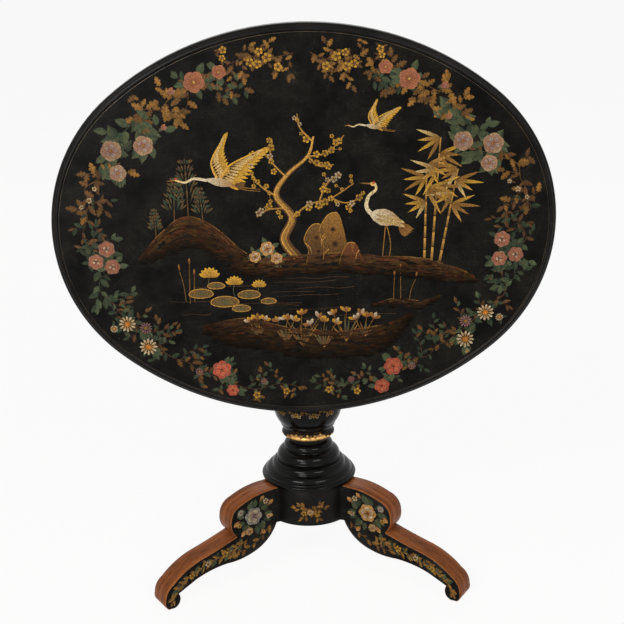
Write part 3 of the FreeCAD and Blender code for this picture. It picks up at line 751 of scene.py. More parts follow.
@dataclass
class PaintFilm:
    """Strokes of paint on a flat pattern, in millimetres, each a little thicker at its middle."""

    # A real film is about 0.05 mm thick. Strokes are drawn thicker, so that none cuts another.
    LAYER = "paint"
    RIM_MM = 0.02
    CROWN_MM = 0.10
    LEVEL_MM = 0.05

    points: list[tuple[float, float, float]] = field(default_factory=list)
    colours: list[Colour] = field(default_factory=list)
    faces: list[tuple[int, ...]] = field(default_factory=list)

    def patch(self, rim: Sequence[Point], middle: Point, rim_colours: Sequence[Colour], middle_colour: Colour,
              level: int = 0) -> None:
        """Lay down a rounded shape.

        Args:
            rim: Points round it.
            middle: Its thickest point, from which all of the rim is seen.
            rim_colours: Colour at each point of the rim.
            middle_colour: Colour at the middle.
            level: How many strokes lie under it.
        """
        first = len(self.points)
        base = self.RIM_MM + level * self.LEVEL_MM
        self.points += [(u, v, base) for u, v in rim]
        self.points.append((middle[0], middle[1], base + self.CROWN_MM))
        self.colours += [*rim_colours, middle_colour]
        count = len(rim)
        self.faces += [(first + i, first + (i + 1) % count, first + count) for i in range(count)]

    def petal(self, root: Point, angle: float, length: float, breadth: float, inner: Colour, outer: Colour,
              level: int = 0, fullness: float = 0.6, coarse: bool = False) -> None:
        """Lay down one petal or one stroke of a round brush.

        Args:
            root: Where it starts.
            angle: Way that it points, in radians.
            length: Its length.
            breadth: Its greatest breadth.
            inner: Colour at the root.
            outer: Colour at the tip.
            level: How many strokes lie under it.
            fullness: Share of the length at which it is broadest.
            coarse: Whether a few points do for its rim.
        """
        bend = log(0.5) / log(fullness)
        along = (cos(angle), sin(angle))
        shares = (0.25, 0.60, 0.88) if coarse else (0.18, 0.42, 0.64, 0.84, 0.95)
        sides: list[tuple[float, float]] = [(0.0, 0.0)]
        sides += [(s, sin(pi * s ** bend)) for s in shares]
        sides.append((1.0, 0.0))
        sides += [(s, -sin(pi * s ** bend)) for s in reversed(shares)]
        rim = []
        for s, side in sides:
            a, b = s * length, -side * breadth / 2
            rim.append((root[0] + a * along[0] - b * along[1], root[1] + a * along[1] + b * along[0]))
        middle = (root[0] + along[0] * length * fullness, root[1] + along[1] * length * fullness)
        tints = [blend(inner, outer, s) for s, _ in sides]
        self.patch(rim[::-1], middle, tints[::-1], blend(inner, outer, fullness * 0.8), level)

    def leaf(self, root: Point, angle: float, length: float, breadth: float, shadow: Colour, light: Colour,
             level: int = 0, fullness: float = 0.45) -> None:
        """Lay down a leaf: a dark shape with a lighter stroke along one side of its rib.

        Args:
            root: Where it starts.
            angle: Way that it points, in radians.
            length: Its length.
            breadth: Its greatest breadth.
            shadow: Colour of the shape.
            light: Colour of the stroke's tip.
            level: How many strokes lie under it.
            fullness: Share of the length at which it is broadest.
        """
        self.petal(root, angle, length, breadth, shadow, shadow, level, fullness)
        beside = angle + 0.16 * breadth / length
        self.petal(root, beside, length * 0.94, breadth * 0.42, shadow, light, level + 1, fullness)

    def dot(self, middle: Point, radius: float, rim: Colour, heart: Colour, level: int = 0,
            sides: int = 8) -> None:
        """Lay down a round dab.

        Args:
            middle: Its middle.
            radius: Its radius.
            rim: Colour at its rim.
            heart: Colour at its middle.
            level: How many strokes lie under it.
            sides: Points round it.
        """
        angles = [2 * pi * step / sides for step in range(sides)]
        ring = [(middle[0] + radius * cos(a), middle[1] + radius * sin(a)) for a in angles]
        self.patch(ring, middle, [rim] * sides, heart, level)

    def line(self, points: Sequence[Point], start_width: float, end_width: float, start: Colour,
             end: Colour | None = None, level: int = 0, steps: int = 6) -> list[Point]:
        """Draw a tapering line through points.

        Args:
            points: Points that it passes.
            start_width: Its width at the first point.
            end_width: Its width at the last point.
            start: Its colour at the first point.
            end: Its colour at the last point, if another.
            level: How many strokes lie under it.
            steps: Stretches between two points.

        Returns:
            The points of the smooth line.
        """
        way = smooth_line(points, steps)
        last = len(way) - 1
        base = self.RIM_MM + level * self.LEVEL_MM
        first = len(self.points)
        for index, (u, v) in enumerate(way):
            before, after = way[max(index - 1, 0)], way[min(index + 1, last)]
            du, dv = after[0] - before[0], after[1] - before[1]
            reach = hypot(du, dv) or 1.0
            half = (start_width + (end_width - start_width) * index / last) / 2
            off_u, off_v = -dv / reach * half, du / reach * half
            self.points += [(u - off_u, v - off_v, base), (u, v, base + self.CROWN_MM / 2),
                            (u + off_u, v + off_v, base)]
            self.colours += [blend(start, end or start, index / last)] * 3
        for index in range(last):
            near, far = first + 3 * index, first + 3 * index + 3
            self.faces += [(near, far, far + 1, near + 1), (near + 1, far + 1, far + 2, near + 2)]
        return way

    def fill(self, rim: Sequence[Point], colour_at: Callable[[float, float], Colour], level: int = 0) -> None:
        """Fill any outline with colour that changes from place to place.

        Args:
            rim: Points of the outline.
            colour_at: Gives the colour at a place.
            level: How many strokes lie under it.
        """
        first = len(self.points)
        base = self.RIM_MM + level * self.LEVEL_MM
        self.points += [(u, v, base) for u, v in rim]
        self.colours += [colour_at(u, v) for u, v in rim]
        flat = [Vector((u, v, 0.0)) for u, v in rim]
        for a, b, c in tessellate_polygon([flat]):
            turn = (flat[b] - flat[a]).cross(flat[c] - flat[a]).z
            corners = (a, b, c) if turn > 0 else (a, c, b)
            self.faces.append(tuple(first + corner for corner in corners))

    def mesh(self, name: str) -> Mesh:
        """The film as a flat mesh of its own, for use as a stamp one unit in radius.

        Args:
            name: Name of the mesh.

        Returns:
            The mesh, with its colours as an attribute.
        """
        mesh = bpy.data.meshes.new(name)
        mesh.from_pydata(self.points, [], self.faces)
        layer = mesh.attributes.new(self.LAYER, "FLOAT_COLOR", "POINT")
        layer.data.foreach_set("color", [channel for colour in self.colours for channel in colour])
        return mesh


class Motif(Enum):
    """Stamps of the decoration. Each is drawn once and repeated by the tree that lays them down."""

    ROSE = 0
    PEONY = 1
    CREAM_PEONY = 2
    DUSK_ROSE = 3
    DAISY = 4
    BINDWEED = 5
    ASTER = 6
    BLOSSOM = 7
    BUD = 8
    GREEN_LEAF = 9
    DARK_LEAF = 10
    GOLD_LEAF = 11
    BROWN_LEAF = 12
    LOBED_LEAF = 13
    PLUM_BLOSSOM = 14
    HEART_LEAF = 15
    TAN_PETAL = 16
    OCHRE_LOBED = 17
    GREY_PEONY = 18

    @property
    def grows(self) -> bool:
        """Whether the stamp starts at its point and grows one way, as a leaf does."""
        return self in (Motif.BUD, Motif.GREEN_LEAF, Motif.DARK_LEAF, Motif.GOLD_LEAF, Motif.BROWN_LEAF,
                        Motif.LOBED_LEAF, Motif.HEART_LEAF, Motif.TAN_PETAL, Motif.OCHRE_LOBED)

    def draw(self) -> PaintFilm:
        """Draw the stamp, about one unit from its middle to its rim, or from its root to its tip.

        Returns:
            The film with its strokes.
        """
        film = PaintFilm()
        # A stamp is one unit in radius, so these are shares of its radius.
        film.RIM_MM, film.CROWN_MM, film.LEVEL_MM = 0.003, 0.009, 0.004
        self.draw_petals(film)
        self.draw_leaf(film)
        return film

    def draw_petals(self, film: PaintFilm) -> None:
        """Draw the rings of petals and the heart of a flower.

        Args:
            film: Film that takes the strokes.
        """
        rings = {
            Motif.ROSE: [(5, 0.10, 0.86, 0.92, Paint.DUSK, Paint.SALMON),
                         (5, 0.06, 0.52, 0.50, Paint.RUSSET, Paint.SALMON)],
            Motif.PEONY: [(6, 0.16, 0.84, 0.78, Paint.DUSK, Paint.CORAL),
                          (5, 0.05, 0.60, 0.56, Paint.CORAL, Paint.SALMON)],
            Motif.CREAM_PEONY: [(6, 0.16, 0.84, 0.80, Paint.OCHRE, Paint.APRICOT),
                                (5, 0.1, 0.60, 0.56, Paint.RUSSET, Paint.CREAM),
                                (4, 0.02, 0.34, 0.34, Paint.RUSSET, Paint.APRICOT)],
            Motif.GREY_PEONY: [(6, 0.16, 0.84, 0.80, Paint.STONE, Paint.ASH),
                               (5, 0.1, 0.60, 0.56, Paint.DUSK, Paint.CREAM),
                               (4, 0.02, 0.34, 0.34, Paint.PLUM, Paint.ASH)],
            Motif.DUSK_ROSE: [(6, 0.20, 0.76, 0.78, Paint.DUSK, Paint.ROSE),
                              (5, 0.08, 0.56, 0.54, Paint.DUSK, Paint.SALMON),
                              (3, 0.02, 0.34, 0.34, Paint.DUSK, Paint.CREAM)],
            Motif.DAISY: [(12, 0.26, 0.74, 0.26, Paint.OCHRE, Paint.CREAM)],
            Motif.BINDWEED: [(5, 0.02, 0.98, 1.10, Paint.DUSK, Paint.BUFF),
                             (5, 0.02, 0.60, 0.40, Paint.DUSK, Paint.ASH)],
            Motif.ASTER: [(12, 0.26, 0.74, 0.24, Paint.PLUM, Paint.ROSE)],
            Motif.BLOSSOM: [(5, 0.14, 0.86, 0.78, Paint.OCHRE, Paint.YELLOW)],
            Motif.PLUM_BLOSSOM: [(5, 0.14, 0.86, 0.78, Paint.OCHRE, Paint.CREAM)],
        }
        hearts = {
            Motif.DAISY: (0.32, Paint.ORANGE), Motif.ASTER: (0.28, Paint.OCHRE),
            Motif.BLOSSOM: (0.22, Paint.UMBER), Motif.PLUM_BLOSSOM: (0.22, Paint.RUSSET),
            Motif.BINDWEED: (0.14, Paint.OCHRE), Motif.ROSE: (0.15, Paint.GOLD),
            Motif.PEONY: (0.13, Paint.RUSSET), Motif.CREAM_PEONY: (0.12, Paint.RUSSET),
            Motif.GREY_PEONY: (0.12, Paint.DUSK),
        }
        small = self in (Motif.BLOSSOM, Motif.PLUM_BLOSSOM, Motif.DAISY, Motif.ASTER)
        for level, (count, start, length, breadth, inner, outer) in enumerate(rings.get(self, [])):
            for step in range(count):
                angle = 2 * pi * (step + 0.5 * level) / count + 0.3
                root = (start * cos(angle) * 0.6, start * sin(angle) * 0.6)
                tip = blend(outer, inner, 0.22 * (step % 3))
                film.petal(root, angle, length, breadth, inner, tip, 3 * level + step % 3, 0.68, coarse=small)
        if self in hearts:
            radius, heart = hearts[self]
            film.dot((0, 0), radius, blend(heart, Paint.UMBER, 0.5), heart, 10)

    def draw_leaf(self, film: PaintFilm) -> None:
        """Draw a leaf, a bud or a single petal.

        Args:
            film: Film that takes the strokes.
        """
        plain = {
            Motif.GREEN_LEAF: (Paint.LEAF, Paint.MOSS, 0.56),
            Motif.DARK_LEAF: (Paint.PINE, Paint.LEAF, 0.50),
            Motif.GOLD_LEAF: (Paint.BRONZE, Paint.GOLD, 0.42),
            Motif.BROWN_LEAF: (Paint.UMBER, Paint.BRONZE, 0.42),
        }
        lobed = {Motif.LOBED_LEAF: (Paint.UMBER, Paint.BRONZE),
                 Motif.OCHRE_LOBED: (Paint.BRONZE, Paint.OCHRE)}
        if self in plain:
            shadow, light, breadth = plain[self]
            film.leaf((0, 0), 0.0, 1.0, breadth, shadow, light)
        if self in lobed:
            shadow, light = lobed[self]
            half = [(1.0, 0.0), (0.84, 0.14), (0.74, 0.21), (0.62, 0.11), (0.58, 0.27), (0.44, 0.31),
                    (0.33, 0.15), (0.16, 0.26), (0.06, 0.11)]
            rim = [*half, (0.0, 0.0), *((u, -v) for u, v in half[:0:-1])]
            film.patch(rim, (0.5, 0.0), [blend(shadow, light, abs(u - 0.3)) for u, _ in rim], light)
        if self is Motif.HEART_LEAF:
            half = [(1.0, 0.0), (0.80, 0.13), (0.55, 0.32), (0.28, 0.43), (0.04, 0.38), (-0.08, 0.20)]
            rim = [*half, (0.02, 0.0), *((u, -v) for u, v in half[:0:-1])]
            film.patch(rim, (0.40, 0.04), [Paint.MOSS] * 6 + [Paint.PINE] * (len(rim) - 6), Paint.LEAF)
            film.line([(0.02, 0.0), (0.5, 0.02), (0.92, 0.0)], 0.05, 0.02, Paint.MOSS, level=2, steps=2)
        if self is Motif.TAN_PETAL:
            film.petal((0, 0), 0.0, 1.0, 0.52, Paint.RUSSET, Paint.APRICOT, 1, 0.62)
        if self is Motif.BUD:
            film.petal((0, 0), 0.0, 0.55, 0.34, Paint.LEAF, Paint.MOSS, 0)
            film.petal((0.25, 0), 0.22, 0.75, 0.36, Paint.DUSK, Paint.SALMON, 1)
            film.petal((0.25, 0), -0.22, 0.75, 0.36, Paint.DUSK, Paint.ROSE, 2)


@dataclass
class Stamp:
    """One repeat of a motif: place, size and lift in millimetres, turn in radians, share of brightness."""

    motif: Motif
    u: float
    v: float
    size: float
    turn: float = 0.0
    tint: float = 1.0
    lift: float = 0.0


def inside(point: Point, rim: Sequence[Point]) -> bool:
    """Whether a point lies within a closed outline.

    Args:
        point: The point.
        rim: Points of the outline.

    Returns:
        True if it does.
    """
    u, v = point
    within = False
    for (au, av), (bu, bv) in zip(rim, [*rim[1:], rim[0]]):
        if (av > v) != (bv > v) and u < au + (bu - au) * (v - av) / (bv - av):
            within = not within
    return within


@dataclass
class Pattern:
    """Strokes and stamps that are laid on a surface together, the stamps within a limit if one is given."""

    film: PaintFilm = field(default_factory=PaintFilm)
    stamps: list[Stamp] = field(default_factory=list)
    limit: Sequence[Point] = ()

    def fits(self, stamp: Stamp) -> bool:
        """Whether a stamp lies within the limit.

        Args:
            stamp: The stamp.

        Returns:
            True if it does, or if there is no limit.
        """
        if not self.limit:
            return True
        probes = [(cos(pi * step / 4), sin(pi * step / 4)) for step in range(8)]
        if stamp.motif.grows:
            probes = [(0.0, 0.0), (0.3, 0.35), (0.3, -0.35), (0.7, 0.25), (0.7, -0.25), (1.05, 0.0)]
        along = (cos(stamp.turn), sin(stamp.turn))
        spots = [(stamp.u + stamp.size * (a * along[0] - b * along[1]),
                  stamp.v + stamp.size * (a * along[1] + b * along[0]))
                 for a, b in probes]
        return all(inside(spot, self.limit) for spot in spots)

    def stamp(self, motif: Motif, u: float, v: float, size: float, turn: float = 0.0,
              tint: float = 1.0) -> None:
        """Note one repeat of a motif, turned or made smaller to keep within the limit, or else left out.

        Args:
            motif: The motif.
            u: Its place across.
            v: Its place up.
            size: Its size.
            turn: Way that it points, in radians.
            tint: Share of brightness.
        """
        for share in (1.0, 0.8, 0.62):
            for swerve in (0.0, 0.5, -0.5, 1.0, -1.0, 1.7, -1.7):
                placed = Stamp(motif, u, v, size * share, turn + swerve, tint, 0.0 if motif.grows else 0.25)
                if self.fits(placed):
                    self.stamps.append(placed)
                    return

    def sprig(self, points: Sequence[Point], leaves: Sequence[Motif], size: float, stem: Paint,
              rng: random.Random, spacing: float = 11.0, width: float = 1.2) -> list[Point]:
        """Draw a stem with leaves set alternately along it.

        Args:
            points: Points that the stem passes.
            leaves: Leaves that grow on it.
            size: Length of a leaf.
            stem: Colour of the stem.
            rng: Source of the small differences.
            spacing: Distance between two leaves.
            width: Width of the stem at its root.

        Returns:
            The points of the stem.
        """
        way = self.film.line(points, width, width * 0.4, stem)
        since, side = spacing * 0.5, 1
        for (u, v), (next_u, next_v) in zip(way, way[1:]):
            since += hypot(next_u - u, next_v - v)
            if since >= spacing:
                since, side = 0.0, -side
                heading = atan2(next_v - v, next_u - u) + side * rng.uniform(0.45, 1.15)
                self.stamp(rng.choice(leaves), next_u, next_v, size * rng.uniform(0.7, 1.2), heading,
                           rng.uniform(0.6, 1.1))
        end = atan2(way[-1][1] - way[-2][1], way[-1][0] - way[-2][0])
        self.stamp(rng.choice(leaves), way[-1][0], way[-1][1], size, end, rng.uniform(0.7, 1.1))
        return way


class Surface:
    """A surface that takes a pattern: where a point of the pattern lies, and which way it faces."""

    def place(self, u: float, v: float) -> tuple[Vector, Vector, Vector]:
        """Point in metres, with the ways that the pattern's across and up run there."""
        raise NotImplementedError

    def at(self, u: float, v: float, lift: float) -> Vector:
        """Point in metres, raised off the surface by a lift in millimetres."""
        spot, across, up = self.place(u, v)
        return spot + across.cross(up).normalized() * lift * MM


@dataclass
class FlatSurface(Surface):
    """A flat face."""

    origin: Vector
    across: Vector
    up: Vector
    away: float = 1.0

    def place(self, u: float, v: float) -> tuple[Vector, Vector, Vector]:
        """Point in metres, with the ways that the pattern's across and up run there."""
        return self.origin + (self.across * u * self.away + self.up * v) * MM, self.across, self.up


@dataclass
class TurnedSurface(Surface):
    """The outside of a turning, unrolled about a chosen side."""

    facing: float
    radius: float
    radius_at: Callable[[float], float]

    def place(self, u: float, v: float) -> tuple[Vector, Vector, Vector]:
        """Point in metres, with the ways that the pattern's across and up run there.

        Args:
            u: Place across.
            v: Place up.

        Returns:
            The point, the way across and the way up.
        """
        angle = self.facing + u / self.radius
        here, above = self.radius_at(v), self.radius_at(v + 1.0)
        out, across = ways(angle)
        up = (out * (above - here) + UP).normalized()
        return (out * here + UP * v) * MM, across, up


class StampTree(NodePlan):
    """Geometry nodes that repeat the motifs on marked points and leave the drawn strokes as they are."""

    def __init__(self) -> None:
        """Draw the motifs and build the tree."""
        super().__init__("stamp_motifs", {"Motifs": "Collection", "Unit": "Float"})
        self.motifs = bpy.data.collections.new("motifs")
        for motif in Motif:
            drawn = bpy.data.objects.new(f"motif_{motif.value:02d}", motif.draw().mesh(motif.name.lower()))
            self.motifs.objects.link(drawn)
        tree, given = self.tree, self.given
        kinds = {"stamp": "BOOLEAN", "motif": "INT", "facing": "FLOAT_VECTOR", "size": "FLOAT"}
        marked, which, facing, size = (
            add(tree, "GeometryNodeInputNamedAttribute", {"Name": name}, data_type=kind)
            for name, kind in kinds.items())
        stamped = add(tree, "GeometryNodeInstanceOnPoints", {
            "Points": given["Geometry"], "Selection": marked, "Pick Instance": True, "Instance Index": which,
            "Instance": add(tree, "GeometryNodeCollectionInfo", {
                "Collection": given["Motifs"], "Separate Children": True, "Reset Children": True}),
            "Rotation": add(tree, "FunctionNodeEulerToRotation", {"Euler": facing}),
            "Scale": add(tree, "ShaderNodeMath", {0: size, 1: given["Unit"]}, operation="MULTIPLY")})
        drawn = add(tree, "GeometryNodeDeleteGeometry", {"Geometry": given["Geometry"], "Selection": marked},
                    domain="POINT")
        both = add(tree, "GeometryNodeJoinGeometry")
        for part in (drawn, stamped):
            connect(tree, both, {0: part})
        self.end(both)

    def lay(self, name: str, laid: Iterable[tuple[Pattern, Surface]], paint: Material) -> Mesh:
        """Lay patterns on their surfaces.

        Args:
            name: Name of the new mesh.
            laid: Patterns with the surfaces that take them.
            paint: Material of the paint.

        Returns:
            A plain mesh of all the paint.
        """
        points: list[Vector] = []
        colours: list[float] = []
        faces: list[tuple[int, ...]] = []
        stamps: list[Stamp] = []
        places: list[Matrix] = []
        for pattern, surface in laid:
            first = len(points)
            points += [surface.at(*point) for point in pattern.film.points]
            colours += [channel for colour in pattern.film.colours for channel in colour]
            flip = -1 if isinstance(surface, FlatSurface) and surface.away < 0 else 1
            faces += [tuple(first + corner for corner in face[::flip]) for face in pattern.film.faces]
            stamps += pattern.stamps
            for stamp in pattern.stamps:
                _, across, up = surface.place(stamp.u, stamp.v)
                spot = surface.at(stamp.u, stamp.v, stamp.lift)
                basis = Matrix((across, up, across.cross(up))).transposed()
                turn = pi - stamp.turn if flip < 0 else stamp.turn
                places.append(Matrix.Translation(spot) @ (basis @ Matrix.Rotation(turn, 3, "Z")).to_4x4())
        drawn, count = len(points), len(stamps)
        plan = bpy.data.meshes.new(f"{name}_plan")
        plan.from_pydata([*points, *(place.translation for place in places)], [], faces)
        blank = [0.0] * drawn
        layers = (
            (PaintFilm.LAYER, "FLOAT_COLOR", "color", colours + [0.0] * 4 * count),
            ("stamp", "BOOLEAN", "value", [False] * drawn + [True] * count),
            ("motif", "INT", "value", [0] * drawn + [stamp.motif.value for stamp in stamps]),
            ("size", "FLOAT", "value", blank + [stamp.size for stamp in stamps]),
            ("tint", "FLOAT", "value", [1.0] * drawn + [stamp.tint for stamp in stamps]),
            ("facing", "FLOAT_VECTOR", "vector",
             blank * 3 + [a for place in places for a in place.to_euler()]),
        )
        for layer, kind, key, values in layers:
            plan.attributes.new(layer, kind, "POINT").data.foreach_set(key, values)
        mesh = self.run(name, plan, {"Motifs": self.motifs, "Unit": MM, "Finish": paint})
        self.shade_paint(mesh)
        for layer, *_ in layers[1:]:
            if layer in mesh.attributes:
                mesh.attributes.remove(mesh.attributes[layer])
        return mesh

    @staticmethod
    def shade_paint(mesh: Mesh) -> None:
        """Work each stamp's share of brightness into its colours."""
        tints = [0.0] * len(mesh.vertices)
        mesh.attributes["tint"].data.foreach_get("value", tints)
        for spot, tint in zip(mesh.attributes[PaintFilm.LAYER].data, tints):
            red, green, blue, alpha = spot.color
            spot.color = (red * tint, green * tint, blue * tint, alpha)

    def clear(self) -> None:
        """Take the drawn motifs away once all patterns are laid."""
        for drawn in list(self.motifs.objects):
            bpy.data.objects.remove(drawn)
        bpy.data.collections.remove(self.motifs)


class Finishes:
    """The table's materials, each built once."""

    # Height of the gilding on the collar.
    GILT_MM = 13.4

    def __init__(self) -> None:
        """Build them all."""
        # Rubbed down: deep black with a soft sheen, scratches and grey specks.
        self.face = JapannedLacquer("black_japanning_worn").build()
        # Polished: wet-looking black with crisp lights and hardly a mark.
        self.gloss = JapannedLacquer("black_japanning_polished", roughness=0.15, gloss=0.10, wear=0.03,
                                     ripple=0.0, brown="#0c0b0a").build()
        # Handled: black with a broader sheen and a few marks.
        self.drum = JapannedLacquer("black_japanning_rubbed", roughness=0.30, gloss=0.09, wear=0.12,
                                    brown="#171411").build()
        # Lighter brown-black along the field's arris: a painted highlight, together with wear through to the
        # wood, in patches.
        self.arris = JapannedLacquer("black_japanning_arris_highlight_and_wear", black="#2a2118", brown="#6d5a3e",
                                     mottle_mm=40.0, roughness=0.28, gloss=0.3).build()
        # Left unpolished: flat, brownish black.
        self.back = JapannedLacquer("black_japanning_unpolished", roughness=0.55, gloss=0.12, wear=0.5,
                                    brown="#2a2018").build()
        # Sawn and polished: warm brown with dark streaks, and a painted highlight with rubbing along the
        # arrises.
        self.leg_edge = PolishedWood("walnut_sawn_polished", half_breadth_mm=26.0, pale="#aa6437",
                                     middle="#8c4e28", dark="#40200d", gloss=0.06, grain_mm=1.6).build()
        # Waxed: darker and duller, with upright grain.
        self.bearer = PolishedWood("walnut_waxed", grain=Grain.UPRIGHT, pale="#85563a", middle="#6b4229",
                                   dark="#3e2413", roughness=0.5).build()
        # Planed and bare: pale and matt.
        self.wedge = PolishedWood("beech_planed", grain=Grain.UPRIGHT, pale="#c49a6a", middle="#b08555",
                                  dark="#8a623c", roughness=0.6).build()
        # Leaf on bole: a warm, broken gleam, red-brown where it has rubbed through.
        gilt_up_to = levels("gilt_collar")[0] + self.GILT_MM
        self.gilt = HalfGiltWood("gold_leaf_on_bole", level_mm=gilt_up_to).build()
        # Aged: soft yellow metal with brown tarnish.
        self.brass = WornMetal("brass_aged", bright="#b08d4c", dull="#5e4a28", patch_mm=9.0).build()
        # Drawn wire: grey metal with narrow lights.
        self.steel = WornMetal("steel_wire_drawn", bright="#8d8d8f", dull="#56524c", roughness=0.3,
                               patch_mm=3.0).build()
        # Blacked: dark, dull metal with rusty patches.
        self.iron = WornMetal("iron_blacked", bright="#2b2a29", dull="#3c2a20", roughness=0.55,
                              patch_mm=12.0).build()
        # Brushed: matt strokes, with a slight gleam in the gold ones.
        self.paint = BrushedPaint("oil_colour_and_gold_powder").build()


@dataclass
class OvalTop:
    """The oval board with its moulded edge, the ring under it and the painting on its face. Millimetres."""

    finishes: Finishes
    stamps: StampTree
    join_angle: float = 50.0
    arc_steps: int = 72
    garland_margin: float = 19.0
    seed: int = 11

    def __post_init__(self) -> None:
        """Read the board's place and size from the frame."""
        low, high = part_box("top_board")
        self.half_length = (high.x - low.x) / 2 / MM
        self.half_width = (high.z - low.z) / 2 / MM
        self.thickness = (high.y - low.y) / MM
        self.underside = high.y / MM
        self.middle = (high.z + low.z) / 2 / MM
        across, up = cos(radians(self.join_angle)), sin(radians(self.join_angle))
        self.spread = (self.half_length - self.half_width) / (across + up - 1)
        self.end_centre, self.side_centre = self.spread * across, self.spread * up
        self.end_radius = self.half_length - self.end_centre
        self.side_radius = self.end_radius + self.spread

    def oval(self, inset: float) -> list[Point]:
        """Points round the oval, set in from its edge.

        Args:
            inset: Distance from the edge.

        Returns:
            The points.
        """
        points = []
        join = self.join_angle
        arcs = [
            (self.end_centre, 0.0, self.end_radius, -join, join),
            (0.0, -self.side_centre, self.side_radius, join, 180 - join),
            (-self.end_centre, 0.0, self.end_radius, 180 - join, 180 + join),
            (0.0, self.side_centre, self.side_radius, 180 + join, 360 - join),
        ]
        for centre_u, centre_v, radius, start, end in arcs:
            for step in range(self.arc_steps):
                angle = radians(start + (end - start) * step / self.arc_steps)
                reach = radius - inset
                points.append((centre_u + reach * cos(angle), centre_v + reach * sin(angle)))
        return points

    def near_edge(self, angle: float, inset: float) -> Point:
        """Point near the edge, on an ellipse with the oval's axes less an inset."""
        return ((self.half_length - inset) * cos(angle), (self.half_width - inset) * sin(angle))

    def build_board(self) -> None:
        """Make the board, with a rounded nose, a bead, a quirk and a flat field, and the ring under it."""
        rise, quirk = self.thickness, 15.1
        section = outline_of([
            (0.8, 0.0), (0.0, 0.8, 0.23, 0.23), (0.0, 6.2), (4.9, 13.7, 1.2, 10.9), (5.4, 14.0), (5.4, 15.0),
            (14.2, 17.0, 9.0, 18.3), (14.5, 16.2), (15.0, 16.2), (15.3, 18.5), (16.0, rise, 15.5, 18.85)], 8)
        form = bmesh.new()
        rings = [[form.verts.new((u * MM, (self.underside - height) * MM, (self.middle + v) * MM))
                  for u, v in self.oval(inset)] for inset, height in section]
        # Faces set in past the quirk take the third finish, the lighter brown-black at the field's arris: a
        # painted highlight together with wear.
        for (inset, _), ring, following in zip(section, rings, rings[1:]):
            band(form, ring, following, 2 if inset > quirk else 1)
        for ring, height, finish in ((rings[-1], rise, 0), (rings[0], 0.0, 3)):
            centre = form.verts.new((0.0, (self.underside - height) * MM, self.middle * MM))
            band(form, ring, [centre] * len(ring), finish)
        bmesh.ops.recalc_face_normals(form, faces=form.faces)
        made = self.finishes
        mesh = mesh_of("top_board", form, (made.face, made.drum, made.arris, made.back), 30.0)
        new_piece("oval_board", mesh, "top", ["top_board"])
        ring_mesh = worn_copy("top_lining_ring", made.back, 1.0)
        new_piece("lining_ring", ring_mesh, "top", ["top_lining_ring"])

    def build_painting(self) -> None:
        """Lay the flower border and the garden scene on the face."""
        rng = random.Random(self.seed)
        middle = Vector((0.0, (self.underside - self.thickness) * MM, self.middle * MM))
        face = FlatSurface(middle, Vector((1.0, 0.0, 0.0)), UP)
        patterns = (GardenScene(rng=rng).draw(), self.border(rng, 1), self.border(rng, -1))
        mesh = self.stamps.lay("painted_face", [(pattern, face) for pattern in patterns], self.finishes.paint)
        new_piece("painted_face", mesh, "top")

    def border(self, rng: random.Random, side: int) -> Pattern:
        """One half of the garland: flowers among leafy stems with side shoots.

        Args:
            rng: Source of the small differences.
            side: 1 for the right half, -1 for the left.

        Returns:
            The half's strokes and stamps.
        """
        half = Pattern(limit=self.oval(self.garland_margin))
        for zone in GARLAND:
            points = []
            for step in range(6):
                angle = radians(zone.start + (zone.end - zone.start) * step / 5)
                u, v = self.near_edge(angle, zone.inset + rng.uniform(-12, 12))
                points.append((u * side, v))
            way = half.sprig(points, zone.leaves, zone.size, zone.stem, rng, zone.size * 0.62, 1.3)
            for shoot in range(zone.shoots):
                u, v = way[int((shoot + rng.random()) / zone.shoots * (len(way) - 1))]
                inward = atan2(-v, -u)
                heading = inward + rng.uniform(-1.0, 1.0) + (pi if shoot % 3 == 2 else 0.0)
                length = rng.uniform(26, 58) * (0.6 if shoot % 3 == 2 else 1.0)
                bend = heading + rng.uniform(-0.7, 0.7)
                knee = (u + 0.5 * length * cos(heading), v + 0.5 * length * sin(heading))
                tip = (knee[0] + 0.5 * length * cos(bend), knee[1] + 0.5 * length * sin(bend))
                half.sprig([(u, v), knee, tip], zone.leaves, zone.size * 0.92, zone.stem, rng,
                           zone.size * 0.55, 0.9)
        for motif, u, v, size, leaf in GARLAND_FLOWERS:
            u, v = (u + rng.uniform(-4, 4)) * side, v + rng.uniform(-4, 4)
            for step in range(4 if size > 11 else 2):
                angle = rng.uniform(0.0, 2 * pi)
                half.stamp(leaf, u + size * 0.6 * cos(angle), v + size * 0.6 * sin(angle),
                           rng.uniform(0.9, 1.25) * max(size, 11), angle, rng.uniform(0.7, 1.05))
            half.stamp(motif, u, v, size, rng.uniform(0.0, 1.2), rng.uniform(0.85, 1.05))
        return half


@dataclass(frozen=True)
class GarlandZone:
    """A stretch of the garland: angles in degrees, distance from the edge and leaf length in millimetres."""

    start: float
    end: float
    inset: float
    leaves: tuple[Motif, ...]
    size: float
    stem: Paint
    shoots: int


